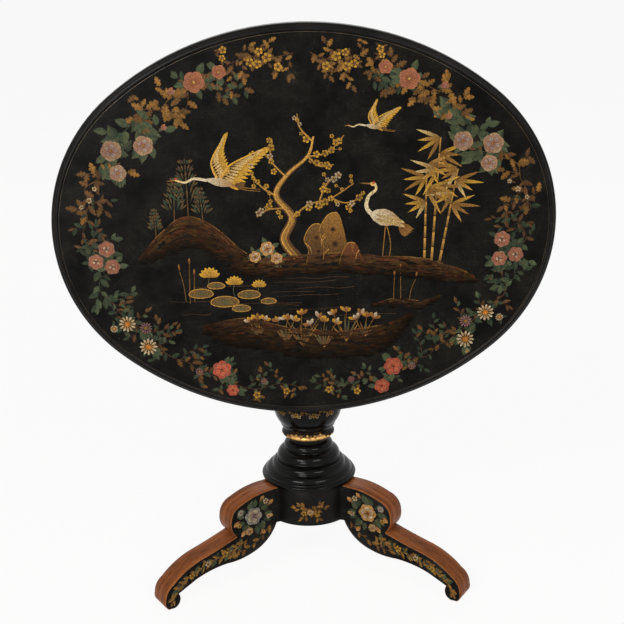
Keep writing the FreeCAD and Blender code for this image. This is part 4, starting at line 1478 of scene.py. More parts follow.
GARLAND = (
    GarlandZone(88, 70, 60, (Motif.LOBED_LEAF, Motif.OCHRE_LOBED), 17, Paint.UMBER, 7),
    GarlandZone(72, 58, 66, (Motif.GREEN_LEAF, Motif.LOBED_LEAF, Motif.DARK_LEAF), 19, Paint.UMBER, 6),
    GarlandZone(60, 42, 70, (Motif.LOBED_LEAF, Motif.OCHRE_LOBED), 22, Paint.BRONZE, 7),
    GarlandZone(46, 24, 74, (Motif.HEART_LEAF, Motif.GREEN_LEAF), 27, Paint.LEAF, 5),
    GarlandZone(28, 6, 62, (Motif.LOBED_LEAF, Motif.OCHRE_LOBED, Motif.BROWN_LEAF), 22, Paint.BRONZE, 6),
    GarlandZone(8, -8, 62, (Motif.BROWN_LEAF, Motif.DARK_LEAF), 17, Paint.UMBER, 6),
    GarlandZone(-4, -24, 66, (Motif.GREEN_LEAF, Motif.DARK_LEAF), 21, Paint.LEAF, 7),
    GarlandZone(-22, -46, 62, (Motif.DARK_LEAF, Motif.GREEN_LEAF, Motif.BROWN_LEAF), 17, Paint.UMBER, 8),
    GarlandZone(-44, -64, 62, (Motif.LOBED_LEAF, Motif.DARK_LEAF), 16, Paint.UMBER, 7),
    GarlandZone(-60, -88, 56, (Motif.DARK_LEAF, Motif.LOBED_LEAF, Motif.GREEN_LEAF), 14, Paint.UMBER, 9),
)

GARLAND_FLOWERS = (
    (Motif.BLOSSOM, 66, 326, 10, Motif.LOBED_LEAF), (Motif.BLOSSOM, 84, 314, 9, Motif.LOBED_LEAF),
    (Motif.BLOSSOM, 47, 314, 9, Motif.LOBED_LEAF), (Motif.BLOSSOM, 100, 318, 9, Motif.LOBED_LEAF),
    (Motif.BLOSSOM, 146, 344, 8, Motif.BROWN_LEAF), (Motif.BLOSSOM, 150, 328, 7, Motif.BROWN_LEAF),
    (Motif.BLOSSOM, 80, 338, 8, Motif.LOBED_LEAF), (Motif.ROSE, 205, 288, 23, Motif.GREEN_LEAF),
    (Motif.ROSE, 158, 304, 15, Motif.GREEN_LEAF), (Motif.BUD, 256, 262, 24, Motif.OCHRE_LOBED),
    (Motif.BINDWEED, 306, 166, 20, Motif.HEART_LEAF), (Motif.BINDWEED, 362, 156, 21, Motif.HEART_LEAF),
    (Motif.BINDWEED, 358, 116, 17, Motif.HEART_LEAF), (Motif.BUD, 272, 196, 20, Motif.GREEN_LEAF),
    (Motif.PLUM_BLOSSOM, 416, 66, 6, Motif.BROWN_LEAF), (Motif.PLUM_BLOSSOM, 428, 48, 5, Motif.BROWN_LEAF),
    (Motif.PLUM_BLOSSOM, 398, 84, 5, Motif.BROWN_LEAF), (Motif.DUSK_ROSE, 386, -34, 19, Motif.DARK_LEAF),
    (Motif.DUSK_ROSE, 408, -62, 18, Motif.DARK_LEAF), (Motif.DUSK_ROSE, 378, -70, 18, Motif.GREEN_LEAF),
    (Motif.DAISY, 350, -188, 19, Motif.DARK_LEAF), (Motif.DAISY, 312, -238, 20, Motif.GREEN_LEAF),
    (Motif.ASTER, 318, -202, 14, Motif.DARK_LEAF), (Motif.DAISY, 378, -198, 9, Motif.DARK_LEAF),
    (Motif.DAISY, 322, -264, 9, Motif.DARK_LEAF), (Motif.PEONY, 168, -294, 21, Motif.GREEN_LEAF),
    (Motif.PEONY, 150, -338, 17, Motif.GREEN_LEAF), (Motif.ASTER, 212, -292, 9, Motif.DARK_LEAF),
    (Motif.ASTER, 86, -320, 8, Motif.DARK_LEAF), (Motif.BLOSSOM, 100, -346, 8, Motif.LOBED_LEAF),
    (Motif.BLOSSOM, 44, -338, 8, Motif.LOBED_LEAF),
)


@dataclass
class GardenScene(Pattern):
    """A garden of a general kind for the middle of the face: hill, tree, rocks, birds, canes and pond."""

    rng: random.Random = field(kw_only=True)

    def draw(self) -> Pattern:
        """Draw the whole scene, the far things first.

        Returns:
            The scene itself.
        """
        self.hill()
        self.bank([(-150, -74), (-96, -62), (-40, -58), (70, -54), (150, -62), (236, -70), (300, -92),
                   (336, -112)], 40)
        self.bank([(132, -160), (176, -150), (226, -156), (262, -146)], 22, 0.8)
        self.bank([(-206, -196), (-120, -184), (-40, -204), (60, -214), (150, -204), (206, -180)], 60, 0.6)
        self.pond()
        self.plum_tree()
        self.rock()
        self.bamboo()
        self.standing_crane()
        self.flying_crane(-170.0, 96.0, 1.0)
        self.flying_crane(128.0, 196.0, 0.55)
        self.foreground()
        return self

    def bank(self, crest: Sequence[Point], depth: float, strength: float = 1.0) -> None:
        """Brown earth below a crest, brushed on in short level strokes that thin out into the black ground.

        Args:
            crest: Points along its upper edge.
            depth: How far down it fades.
            strength: Share of full colour.
        """
        film, rng = self.film, self.rng
        top = smooth_line(crest, 8)
        dark = linear("#0b0a09")
        first, last = top[0][0], top[-1][0]
        for stroke in range(int((last - first) * depth / 26)):
            place = rng.randrange(1, len(top) - 1)
            u, v = top[place]
            slope = atan2(top[place + 1][1] - v, top[place + 1][0] - u)
            share = rng.random() ** 1.5
            ends = min(1.0, (u - first) / 70, (last - u) / 70)
            length = rng.uniform(12, 34) * (0.5 + 0.5 * ends)
            heading = slope * (1 - share) + rng.uniform(-0.1, 0.1) + (pi if stroke % 2 else 0.0)
            spot = (u - length / 2 * cos(heading),
                    v - 2 - depth * share * ends ** 0.5 - length / 2 * sin(heading))
            paint = rng.choice((Paint.UMBER, Paint.UMBER, Paint.RUSSET, Paint.BRONZE))
            weight = strength * (1 - share) * rng.uniform(0.25, 1.0) * (0.3 + 0.7 * ends)
            shown = blend(dark, paint, weight)
            film.petal(spot, heading, length, rng.uniform(2.5, 7.0), blend(dark, shown, 0.5), shown,
                       stroke % 5, 0.5, coarse=True)
        for start in range(4, len(top) - 9, 7):
            film.line(top[start:start + rng.randrange(3, 8)], 0.4, 1.3, Paint.UMBER, Paint.OCHRE, 6, 1)

    def hill(self) -> None:
        """A far hill at the left with old pines on it."""
        film, rng = self.film, self.rng
        self.bank([(-322, -52), (-282, -8), (-236, 26), (-196, 18), (-160, -8), (-128, -40), (-92, -66)], 62,
                  0.8)
        for u, v, height in ((-252, 14, 84), (-224, 22, 108), (-196, 12, 66), (-288, -14, 52)):
            lean = rng.uniform(-8, 8)
            film.line([(u, v - 6), (u + lean * 0.4, v + height * 0.5), (u + lean, v + height)], 2.4, 0.8,
                      Paint.UMBER, Paint.BRONZE, 2)
            for tier in range(6):
                level = 0.30 + 0.14 * tier
                spread = (1.15 - 0.13 * tier) * height * 0.30
                for twig in range(7):
                    angle = pi * (0.02 + 0.16 * twig)
                    root = (u + lean * level + spread * 0.35 * cos(angle), v + height * level)
                    paint = rng.choice((Paint.UMBER, Paint.LEAF, Paint.BRONZE, Paint.BRONZE))
                    film.petal(root, angle * 0.6 + 0.2 * pi, spread * rng.uniform(0.5, 0.8), 3.6,
                               Paint.PINE, paint, 3, coarse=True)

    def foreground(self) -> None:
        """Iris and lily clumps on the near bank."""
        film, rng = self.film, self.rng
        clumps = (
            (-42, -236, 46), (-8, -246, 66), (34, -250, 54), (78, -238, 62), (116, -228, 40), (-96, -222, 34))
        for u, v, height in clumps:
            for blade in range(6):
                angle = pi * (0.30 + 0.08 * blade) + rng.uniform(-0.08, 0.08)
                paint = rng.choice((Paint.MOSS, Paint.BRONZE, Paint.OCHRE, Paint.LEAF))
                film.petal((u, v), angle, height * rng.uniform(0.55, 0.9), 4.6, Paint.UMBER, paint, 3, 0.4,
                           coarse=True)
            for stalk in range(3):
                angle = pi * (0.36 + 0.14 * stalk) + rng.uniform(-0.1, 0.1)
                tip = (u + height * cos(angle), v + height * sin(angle))
                film.line([(u, v), (u + height * 0.5 * cos(angle) - 2, v + height * 0.5 * sin(angle)), tip],
                          1.2, 0.7, Paint.OCHRE, level=3, steps=3)
                for petal in range(3):
                    film.petal(tip, angle + 0.8 * (petal - 1), rng.uniform(11, 17), 7.0,
                               Paint.RUSSET, rng.choice((Paint.OCHRE, Paint.YELLOW, Paint.CREAM)), 4 + petal)

    def pond(self) -> None:
        """Fine water lines, lotus pads with flowers, and reeds."""
        film, rng = self.film, self.rng
        for row in range(15):
            v = -104 - 7 * row
            start = rng.uniform(-270, 40)
            length = rng.uniform(40, 150)
            points = [(start + length * step / 4, v + rng.uniform(-2, 2)) for step in range(5)]
            film.line(points, 0.4, 0.8, Paint.UMBER, Paint.UMBER)
        pads = (
            (-206, -132, 24), (-160, -150, 28), (-112, -136, 22), (-176, -116, 17), (-128, -164, 18),
            (-74, -150, 15))
        for u, v, radius in pads:
            ring = [(u + radius * cos(a), v + 0.40 * radius * sin(a) * (1.15 if sin(a) > 0 else 0.85))
                    for a in (2 * pi * step / 18 for step in range(18))]
            film.patch(ring, (u, v), [Paint.BRONZE] * 18, Paint.LEAF, 1)
            film.line([*ring, ring[0]], 1.1, 1.1, Paint.GOLD, level=2, steps=1)
            for step in range(8):
                angle = 2 * pi * (step + 0.4) / 8
                film.line([(u, v), (u + radius * 0.85 * cos(angle), v + 0.33 * radius * sin(angle))],
                          0.5, 0.4, Paint.OCHRE, level=2, steps=2)
        for u, v, size in ((-188, -96, 22), (-140, -112, 19), (-92, -118, 16)):
            film.line([(u, v), (u - 3, v - 16), (u + 2, v - 30)], 1.2, 0.8, Paint.MOSS)
            for step in range(7):
                angle = pi * (0.12 + 0.76 * step / 6)
                film.petal((u, v - 2), angle, size, size * 0.42, Paint.OCHRE, Paint.YELLOW, 3 + step % 3)
        reeds = (
            (-236, -146, 62), (-228, -150, 78), (-219, -148, 54), (172, -154, 48), (186, -152, 62),
            (203, -154, 44))
        for u, v, height in reeds:
            lean = rng.uniform(-14, 14)
            tip = (u + lean, v + height)
            film.line([(u, v), (u + lean * 0.3, v + height * 0.5), tip], 1.5, 0.6, Paint.BRONZE, Paint.OCHRE,
                      2)
            film.petal(tip, pi / 2 - lean * 0.01, 15, 4.0, Paint.RUSSET, Paint.OCHRE, 3, coarse=True)

    def plum_tree(self) -> None:
        """An old plum tree that leans over the rock, in flower."""
        film, rng = self.film, self.rng
        trunk = [(-14, -64), (-40, -24), (-24, 20), (-54, 64), (-32, 104), (8, 140), (20, 178)]
        film.line(trunk, 22, 3, Paint.UMBER, Paint.BRONZE, 1)
        for shift in (-6.0, -3.5, -1.0, 2.0, 4.5):
            bark = [(u + shift * (1 - 0.13 * place) + rng.uniform(-1, 1), v)
                    for place, (u, v) in enumerate(trunk)]
            paint = Paint.GOLD if shift < -4 else rng.choice((Paint.OCHRE, Paint.BRONZE, Paint.OCHRE))
            film.line(bark, 2.6, 0.8, paint, Paint.GOLD, 2)
        boughs = [
            [(-28, 14), (8, 44), (52, 56), (96, 84)], [(-52, 62), (-84, 84), (-104, 120), (-92, 150)],
            [(-34, 100), (-62, 134), (-58, 170)], [(4, 138), (46, 146), (78, 178)],
            [(18, 168), (-6, 196), (-10, 222)], [(52, 56), (78, 46), (104, 52)],
            [(30, 52), (44, 84), (70, 104)], [(8, 140), (30, 120), (58, 122)],
            [(-40, 38), (-70, 36), (-92, 22)],
        ]
        for bough in boughs:
            way = film.line(bough, 4.6, 1.0, Paint.BRONZE, Paint.OCHRE, 1)
            film.line([(u - 0.8, v + 0.8) for u, v in bough], 1.4, 0.5, Paint.GOLD, level=2)
            for spot in way[3::2]:
                reach = rng.uniform(1, 10)
                angle = rng.uniform(0.0, 2 * pi)
                kind = rng.choice((Motif.PLUM_BLOSSOM, Motif.BLOSSOM, Motif.BLOSSOM, Motif.BLOSSOM))
                self.stamp(kind, spot[0] + reach * cos(angle), spot[1] + reach * sin(angle),
                           rng.uniform(4.0, 8.5), angle, rng.uniform(0.7, 1.1))
                if rng.random() < 0.4:
                    twig = (spot[0] + 18 * cos(angle), spot[1] + 18 * sin(angle))
                    film.line([spot, twig], 1.2, 0.5, Paint.OCHRE, level=1)
                    self.stamp(Motif.BLOSSOM, *twig, rng.uniform(3.0, 5.5), angle)

    def rock(self) -> None:
        """Pierced garden rocks, each face lighter to the upper left, with peonies at their foot."""
        film, rng = self.film, self.rng
        faces = [
            ([(34, -70), (36, -40), (28, -8), (44, 22), (64, 26), (74, 0), (80, -30), (90, -72)],
             Paint.UMBER, Paint.OCHRE),
            ([(2, -72), (6, -46), (-2, -24), (12, 2), (30, 4), (40, -20), (46, -46), (52, -74)], Paint.UMBER,
             Paint.BRONZE),
            ([(66, -76), (72, -54), (84, -34), (100, -38), (108, -58), (120, -78)], Paint.UMBER,
             Paint.RUSSET),
        ]
        for level, (rim, shade_paint, light_paint) in enumerate(faces):
            edge = smooth_line(rim, 5)
            low, high = min(v for _, v in rim), max(v for _, v in rim)
            film.fill(edge, lambda u, v: blend(blend(shade_paint, linear("#0c0b0a"), 0.5), light_paint,
                                               0.9 * (v - low) / (high - low)), 2 + level)
            film.line(edge[:len(edge) * 3 // 5], 0.6, 1.5, Paint.OCHRE, Paint.GOLD, 3 + level, 1)
            for _ in range(5):
                u, v = edge[rng.randrange(4, len(edge) - 4)]
                middle = sum(a for a, _ in rim) / len(rim)
                crack = [(u, v), (u + 0.4 * (middle - u), v - 9), (u + 0.5 * (middle - u), v - 20)]
                film.line(crack, 1.2, 0.4,
                          rng.choice((Paint.GOLD, Paint.OCHRE, Paint.UMBER)), level=4 + level, steps=3)
        for u, v, radius in ((54, -6, 5), (58, -36, 7), (22, -22, 5), (26, -50, 6)):
            film.dot((u, v), radius, Paint.UMBER, linear("#0c0a08"), 7, 10)
        for u, v, size in ((-74, -42, 16), (-98, -58, 13), (-56, -62, 13)):
            film.line([(u, v), (u + 6, v - 12), (u + 10, v - 24)], 1.6, 1.2, Paint.MOSS)
            for angle in (0.4, 1.9, 3.4, 4.7, 5.6):
                self.stamp(Motif.GREEN_LEAF, u + 8 * cos(angle), v + 8 * sin(angle), size * 1.1, angle)
            self.stamp(Motif.CREAM_PEONY, u, v, size, rng.uniform(0, 1))

    def bamboo(self) -> None:
        """A clump of bamboo at the right, its leaves in hanging bunches."""
        film, rng = self.film, self.rng
        for u, lean, top in ((232, 4, 120), (246, 16, 172), (262, 34, 110)):
            joints = 8
            for step in range(joints):
                low, high = step / joints, (step + 0.94) / joints
                film.line([(u + lean * low, -76 + (top + 76) * low),
                           (u + lean * high, -76 + (top + 76) * high)],
                          5.0 - 0.3 * step, 4.6 - 0.3 * step, Paint.BRONZE, Paint.GOLD, 1, 2)
                if step < 4:
                    continue
                at = (u + lean * high, -76 + (top + 76) * high)
                side = 1 if (step + int(u / 2)) % 2 else -1
                for spread in (0.35, -0.1, -0.55, -1.05):
                    heading = spread if side > 0 else pi - spread
                    paint = rng.choice((Paint.GOLD, Paint.YELLOW, Paint.OCHRE, Paint.PALE_GOLD))
                    film.petal(at, heading, rng.uniform(38, 60), 7.5, Paint.BRONZE, paint, 2, 0.42)

    def standing_crane(self) -> None:
        """A crane that stands on the bank."""
        film = self.film
        for foot in (150, 163):
            film.line([(foot, -70), (foot + 3, -36), (157, 6)], 1.3, 1.9, Paint.OCHRE, level=1)
            film.line([(foot - 8, -71), (foot, -69), (foot + 8, -72)], 1.0, 0.8, Paint.GOLD, level=1, steps=2)
        for step in range(7):
            film.petal((174 + step, 8 - step), -0.45 - 0.11 * step, 42 - 2 * step, 8, Paint.UMBER,
                       Paint.OCHRE, 1)
        film.petal((124, 24), -0.28, 68, 34, Paint.CREAM, Paint.OCHRE, 2, 0.45)
        for row in range(2):
            for step in range(6):
                film.petal((136 + 7 * step, 22 - 8 * row - 2 * step), -0.35, 24, 7, Paint.BRONZE,
                           Paint.PALE_GOLD, 3 + row)
        film.line([(134, 18), (120, 36), (124, 58), (138, 71), (136, 84)], 9, 3.6, Paint.CREAM,
                  Paint.PALE_GOLD, 3)
        film.petal((140, 80), 2.9, 15, 8, Paint.PALE_GOLD, Paint.GOLD, 4)
        film.petal((127, 83), 3.05, 22, 3, Paint.OCHRE, Paint.BRONZE, 4, 0.3)
        film.dot((134, 85), 2.6, Paint.CORAL, Paint.CORAL, 5, 6)

    def flying_crane(self, u: float, v: float, scale: float) -> None:
        """A crane in flight to the left: feathers hang from the front edge of each raised wing.

        Args:
            u: Its place across.
            v: Its place up.
            scale: Share of full size.
        """
        film = self.film

        def at(du: float, dv: float) -> Point:
            """A point of the bird on the pattern."""
            return (u + du * scale, v + dv * scale)

        wings = (
            ([(4, 4), (-6, 36), (12, 72)], 0.55, 0.95, 30.0, Paint.BRONZE, 1),
            ([(10, 2), (30, 30), (74, 52)], -0.55, 0.30, 40.0, Paint.OCHRE, 4),
        )
        for edge, first, last, reach, deep, level in wings:
            way = smooth_line([at(*point) for point in edge], 7)
            for index, spot in enumerate(way):
                share = index / (len(way) - 1)
                angle = first + (last - first) * share
                length = reach * scale * (0.75 + 0.45 * sin(pi * (0.2 + 0.7 * share)))
                film.petal(spot, angle, length, 7.5 * scale, deep, Paint.YELLOW, level + index % 2, 0.66)
                film.petal(spot, angle, length * 0.55, 5.0 * scale, Paint.OCHRE, Paint.PALE_GOLD, level + 2,
                           0.6)
            film.line([at(*point) for point in edge], 5.0 * scale, 1.6 * scale, Paint.GOLD, Paint.YELLOW,
                      level + 3)
        for step in range(4):
            film.petal(at(32, -8), -0.45 + 0.16 * step, 26 * scale, 6 * scale, Paint.UMBER, Paint.BRONZE, 7)
        film.petal(at(40, -10), pi - 0.22, 62 * scale, 17 * scale, Paint.OCHRE, Paint.CREAM, 8, 0.5)
        film.line([at(-16, 1), at(-40, 5), at(-58, -2), at(-76, 3)], 6 * scale, 3 * scale, Paint.CREAM,
                  Paint.PALE_GOLD, 9)
        film.petal(at(-74, 3), pi + 0.1, 20 * scale, 3.2 * scale, Paint.OCHRE, Paint.BRONZE, 9, 0.3)
        film.dot(at(-75, 5), 2.4 * scale, Paint.CORAL, Paint.CORAL, 10, 6)
        for drop in (-15, -19):
            film.line([at(34, -11), at(56, drop), at(86, drop - 4)], 1.8 * scale, 1.0 * scale, Paint.OCHRE,
                      level=7)


@dataclass
class TurnedStem:
    """The turned pillar, its rings and the drum, with gold sprigs on the bowl and the drum. Millimetres."""

    finishes: Finishes
    stamps: StampTree
    bore: float = 20.1
    bowl_from: float = 15.0
    bowl_to: float = 95.0
    bowl_middle: float = 52.0
    bowl_breadth: float = 70.0
    bowl_least: float = 55.0
    seed: int = 5

    def __post_init__(self) -> None:
        """Read the turnings' levels from the frame."""
        self.drum_base, self.drum_top = levels("drum")
        self.drum_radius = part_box("drum")[1].x / MM
        self.flange_top = levels("flange_moulding")[1]
        self.bell_top = levels("bell_moulding")[1]
        self.collar_top = levels("gilt_collar")[1]
        self.block_base, self.block_top = levels("pillar_block")

    def build(self) -> None:
        """Make the pillar, the rings and the drum, and lay their sprigs."""
        made, bore = self.finishes, self.bore
        rise = self.flange_top - self.drum_top
        self.ring("flange_turning", "flange_moulding", made.gloss, "japanned_wood", self.drum_top, [
            (bore, 0.0), (96.0, 0.0), (98.7, 4.6, 98.0, 1.9), (97.2, 9.0, 98.8, 7.2), (95.8, 9.6),
            (95.4, 10.6), (92.6, 14.2, 95.0, 13.0), (91.5, 14.6), (91.0, 15.6), (80.2, 26.4, 87.4, 21.8),
            (79.0, 26.7), (78.4, 28.4), (77.2, 28.8), (76.8, 29.8), (69.4, 39.4, 74.4, 35.2), (65.0, 39.8),
            (64.0, rise), (bore, rise)])
        rise = self.bell_top - self.flange_top
        self.ring("bell_turning", "bell_moulding", made.gloss, "japanned_wood", self.flange_top, [
            (bore, 0.0), (64.0, 0.0), (64.4, 1.0), (66.6, 1.8), (66.4, 5.4, 67.2, 3.4), (65.8, 6.0),
            (52.8, 22.6, 62.6, 15.8), (51.0, 23.0), (50.4, 24.2), (50.8, 24.8), (41.4, 39.8, 49.4, 34.8),
            (40.2, 40.4), (40.2, 48.0), (42.0, rise), (bore, rise)])
        rise = self.collar_top - self.bell_top
        self.ring("collar_turning", "gilt_collar", made.gilt, "gilt_wood", self.bell_top, [
            (bore, 0.0), (43.0, 0.0), (55.0, 4.8, 51.6, 1.1), (51.0, 11.2, 54.4, 8.4), (50.2, 12.0),
            (49.2, rise, 49.4, 13.6), (bore, rise)])
        pillar = self.pillar_outline()
        self.ring("pillar_turning", "pillar", made.gloss, "japanned_wood", 0.0, pillar)
        new_piece("drum_turning", worn_copy("drum", made.drum, 1.2), "base", ["drum"])
        self.build_sprigs(pillar)

    def ring(self, name: str, node: str, finish: Material, slot: str, base: float,
             rows: Sequence[Sequence[float]]) -> None:
        """Turn an outline and put it in the place of its CAD node.

        Args:
            name: The piece's name.
            node: The CAD node.
            finish: The turning's finish.
            slot: Not used.
            base: Level from which the outline's heights count.
            rows: Rows of the outline.
        """
        lifted = [[value + base * (place % 2) for place, value in enumerate(row)] for row in rows]
        new_piece(name, turned_mesh(name, outline_of(lifted, 7), finish), "base", [node])

    def pillar_outline(self) -> list[Point]:
        """Outline of the pillar: tenon, bowl, hollow spindle with its astragal, cap and head tenon.

        Returns:
            Radius and height of each point.
        """
        low, high = self.collar_top, self.block_base
        rows = [
            (0.0, self.drum_base), (20.0, self.drum_base), (20.0, low), (49.0, low),
            (58.6, low + 13.6, 55.0, low + 6.0), (58.4, low + 14.6), (59.4, low + 15.6),
            (71.5, low + 55.0, 68.6, low + 33.0), (60.0, low + 94.0, 69.2, low + 77.0), (60.0, low + 98.0),
            (50.0, low + 98.0), (33.0, low + 190.0, 37.5, low + 138.0), (33.0, 564.5), (36.0, 565.5),
            (40.0, 572.5, 39.4, 567.8), (36.0, 579.5, 39.4, 577.2), (33.0, 580.5),
            (49.0, high - 13.0, 36.0, high - 52.0), (50.5, high - 12.5),
            (54.0, high - 6.5, 53.6, high - 10.0), (54.0, high), (25.0, high), (25.0, self.block_top),
            (0.0, self.block_top)]
        return outline_of(rows, 14)

    def build_sprigs(self, pillar: Sequence[Point]) -> None:
        """Lay gold sprigs round the bowl and, between the legs, on the drum.

        Args:
            pillar: Outline of the pillar.
        """
        rng = random.Random(self.seed)
        low, high = self.collar_top + self.bowl_from, self.collar_top + self.bowl_to
        bowl = [(radius, height) for radius, height in pillar
                if low <= height <= high and radius > self.bowl_least]

        def bowl_radius(height: float) -> float:
            """Radius of the bowl at a height."""
            for (low_r, low_z), (high_r, high_z) in zip(bowl, bowl[1:]):
                if low_z <= height <= high_z:
                    return low_r + (high_r - low_r) * (height - low_z) / max(high_z - low_z, 1e-6)
            return bowl[-1][0] if height > bowl[-1][1] else bowl[0][0]

        laid: list[tuple[Pattern, Surface]] = []
        for turn in range(12):
            sprig = self.bowl_sprig(rng, self.collar_top + self.bowl_middle, 1.1 - 0.35 * (turn % 2))
            laid.append((sprig, TurnedSurface(radians(-111 + 30 * turn), self.bowl_breadth, bowl_radius)))
        for turn in range(3):
            facing = radians(-90 + 120 * turn)
            laid.append((self.drum_sprig(rng),
                         TurnedSurface(facing, self.drum_radius, lambda _: self.drum_radius)))
        mesh = self.stamps.lay("painted_sprigs", laid, self.finishes.paint)
        new_piece("painted_sprigs", mesh, "base")

    def bowl_sprig(self, rng: random.Random, middle: float, tint: float) -> Pattern:
        """A small gold sprig for one side of the bowl.

        Args:
            rng: Source of the small differences.
            middle: Level of its middle.
            tint: Share of brightness.

        Returns:
            Its strokes and stamps.
        """
        sprig = Pattern()
        for side in (1, -1):
            sprig.sprig([(0, middle - 7), (side * 5, middle + 1), (side * 11, middle + 4)],
                        (Motif.OCHRE_LOBED, Motif.GOLD_LEAF), 8, Paint.BRONZE, rng, 4.0, 0.9)
            sprig.stamp(Motif.PLUM_BLOSSOM, side * 7, middle - 3, 4.5, rng.random(), 0.7 * tint)
        sprig.stamp(Motif.BLOSSOM, 0, middle, 5.5, rng.random(), 0.8 * tint)
        return sprig

    def drum_sprig(self, rng: random.Random) -> Pattern:
        """A bunch of gold and brown leaves with small blossoms for one side of the drum.

        Args:
            rng: Source of the small differences.

        Returns:
            Its strokes and stamps.
        """
        middle = (self.drum_base + self.drum_top) / 2 - 6
        sprig = Pattern()
        leaves = (Motif.OCHRE_LOBED, Motif.GOLD_LEAF, Motif.LOBED_LEAF)
        stems = ([(0, -5), (15, 2), (30, 5)], [(3, -7), (10, 6), (20, 13)], [(3, -4), (8, -12), (17, -18)])
        for side in (1, -1):
            for stem in stems:
                way = [(side * u, middle + v) for u, v in stem]
                sprig.sprig(way, leaves, 12, Paint.BRONZE, rng, 6.0, 1.0)
            sprig.stamp(Motif.BLOSSOM, side * 14, middle - 6, 6.5, 0.4, 0.8)
        sprig.stamp(Motif.CREAM_PEONY, 0, middle - 3, 8, 0.0, 0.85)
        return sprig


@dataclass
class ScrollLegs:
    """Three sawn scroll legs: brown edges, black sides with flowers, and a dovetail tongue. Millimetres."""

    finishes: Finishes
    stamps: StampTree
    angles: tuple[tuple[str, float], ...] = (("leg_right", -30.0), ("leg_rear", 90.0), ("leg_left", -150.0))
    reach: float = 364.0
    half_thickness: float = 26.0
    arris: float = 1.6
    root_gap: float = 0.1
    # Back and lip of the tongue from the axis, then half its breadth at each.
    tongue: tuple[float, float, float, float] = (59.0, 87.0, 18.0, 13.0)
    tongue_height: float = 70.0
    tongue_gap: float = 0.6
    paint_margin: float = 4.0
    slack: float = 0.01
    seed: int = 23

    def __post_init__(self) -> None:
        """Read the drum's place from the frame."""
        self.drum_base, self.drum_top = levels("drum")
        self.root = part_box("drum")[1].x / MM + self.root_gap

    def outline(self) -> list[Point]:
        """Side view of a leg: distance from the axis and height, anticlockwise from the root's foot.

        Returns:
            The points.
        """
        shares = [
            (0.290, 1.0), (0.492, 0.920, 0.397, 0.979), (0.564, 0.757, 0.546, 0.853),
            (0.5316, 0.582, 0.560, 0.662), (0.736, 0.464, 0.626, 0.524), (0.946, 0.261, 0.852, 0.384),
            (0.996, 0.106, 0.983, 0.193), (0.975, 0.0, 0.994, 0.039), (0.937, 0.0),
            (0.909, 0.145, 0.901, 0.072), (0.797, 0.2415), (0.593, 0.314, 0.698, 0.293),
            (0.385, 0.382, 0.4835, 0.325)]
        rows = [(self.root, self.drum_top)]
        rows += [tuple(s * (self.drum_top if place % 2 else self.reach) for place, s in enumerate(row))
                 for row in shares]
        rows.append((0.264 * self.reach, self.drum_base, 0.313 * self.reach, 0.478 * self.drum_top))
        rows.append((self.root, self.drum_base))
        return outline_of(rows, 12)[::-1]

    def inset_outline(self, outline: Sequence[Point], inset: float) -> list[Point]:
        """The outline set in from its own edge, except at the root.

        Args:
            outline: Points of the outline.
            inset: Distance from the edge.

        Returns:
            As many points.
        """
        result = []
        count = len(outline)
        for index, (across, up) in enumerate(outline):
            before, after = outline[index - 1], outline[(index + 1) % count]
            du, dv = after[0] - before[0], after[1] - before[1]
            length = hypot(du, dv) or 1.0
            held = 0.0 if across <= self.root + self.slack else inset
            result.append((across - dv / length * held, up + du / length * held))
        return result

    def leg_mesh(self, name: str, angle: float) -> Mesh:
        """One leg, with the black sides as one material and the brown edge as the other.

        Args:
            name: Name of the mesh.
            angle: Way that the leg points, in radians.

        Returns:
            The closed mesh.
        """
        outline = self.outline()
        half, round_off = self.half_thickness, self.arris
        rows = [(-half, round_off), (-half + 0.45 * round_off, 0.4 * round_off), (-half + round_off, 0.0)]
        rows += [(-half + 2 * half * share, 0.0) for share in (0.25, 0.5, 0.75)]
        rows += [(half - round_off, 0.0), (half - 0.45 * round_off, 0.4 * round_off), (half, round_off)]
        out, side = ways(angle)
        form = bmesh.new()
        layer = form.loops.layers.uv.new("grain")
        rings = []
        for lateral, inset in rows:
            ring = []
            for across, up in self.inset_outline(outline, inset):
                if across <= self.root + self.slack:
                    across = sqrt(self.root ** 2 - lateral ** 2)
                ring.append(form.verts.new((out * across + side * lateral + UP * up) * MM))
            rings.append(ring)
        lengths = [0.0]
        for (a, b), (c, d) in zip(outline, [*outline[1:], outline[0]]):
            lengths.append(lengths[-1] + hypot(c - a, d - b))
        for row, (ring, following) in enumerate(zip(rings, rings[1:])):
            for step, strip in enumerate(band(form, ring, following, 1)):
                corners = ((step, row), (step + 1, row), (step + 1, row + 1), (step, row + 1))
                for loop, (place, lane) in zip(strip.loops, corners):
                    loop[layer].uv = (lengths[place] * MM, rows[lane][0] * MM)
        flat = [Vector((across, up, 0.0)) for across, up in self.inset_outline(outline, round_off)]
        for ring in (rings[0], rings[-1]):
            for corners in tessellate_polygon([flat]):
                form.faces.new([ring[corner] for corner in corners])
        self.add_tongue(form, out, side)
        bmesh.ops.recalc_face_normals(form, faces=form.faces)
        return mesh_of(name, form, (self.finishes.face, self.finishes.leg_edge), 40.0)

    def add_tongue(self, form: BMesh, out: Vector, side: Vector) -> None:
        """Add the dovetail tongue that slides up into the drum.

        Args:
            form: The leg's form.
            out: Way that the leg points.
            side: Way across it.
        """
        back, lip, half_back, half_neck = self.tongue
        end = self.root - self.tongue_gap
        half = [(back, half_back), (lip, half_neck), (end, half_neck)]
        plan = [*((a, -b) for a, b in half), *half[::-1]]
        rings = [[form.verts.new((out * a + side * b + UP * height) * MM) for a, b in plan]
                 for height in (self.drum_base, self.drum_base + self.tongue_height)]
        band(form, *rings, 1)
        for ring in rings:
            form.faces.new(ring).material_index = 1

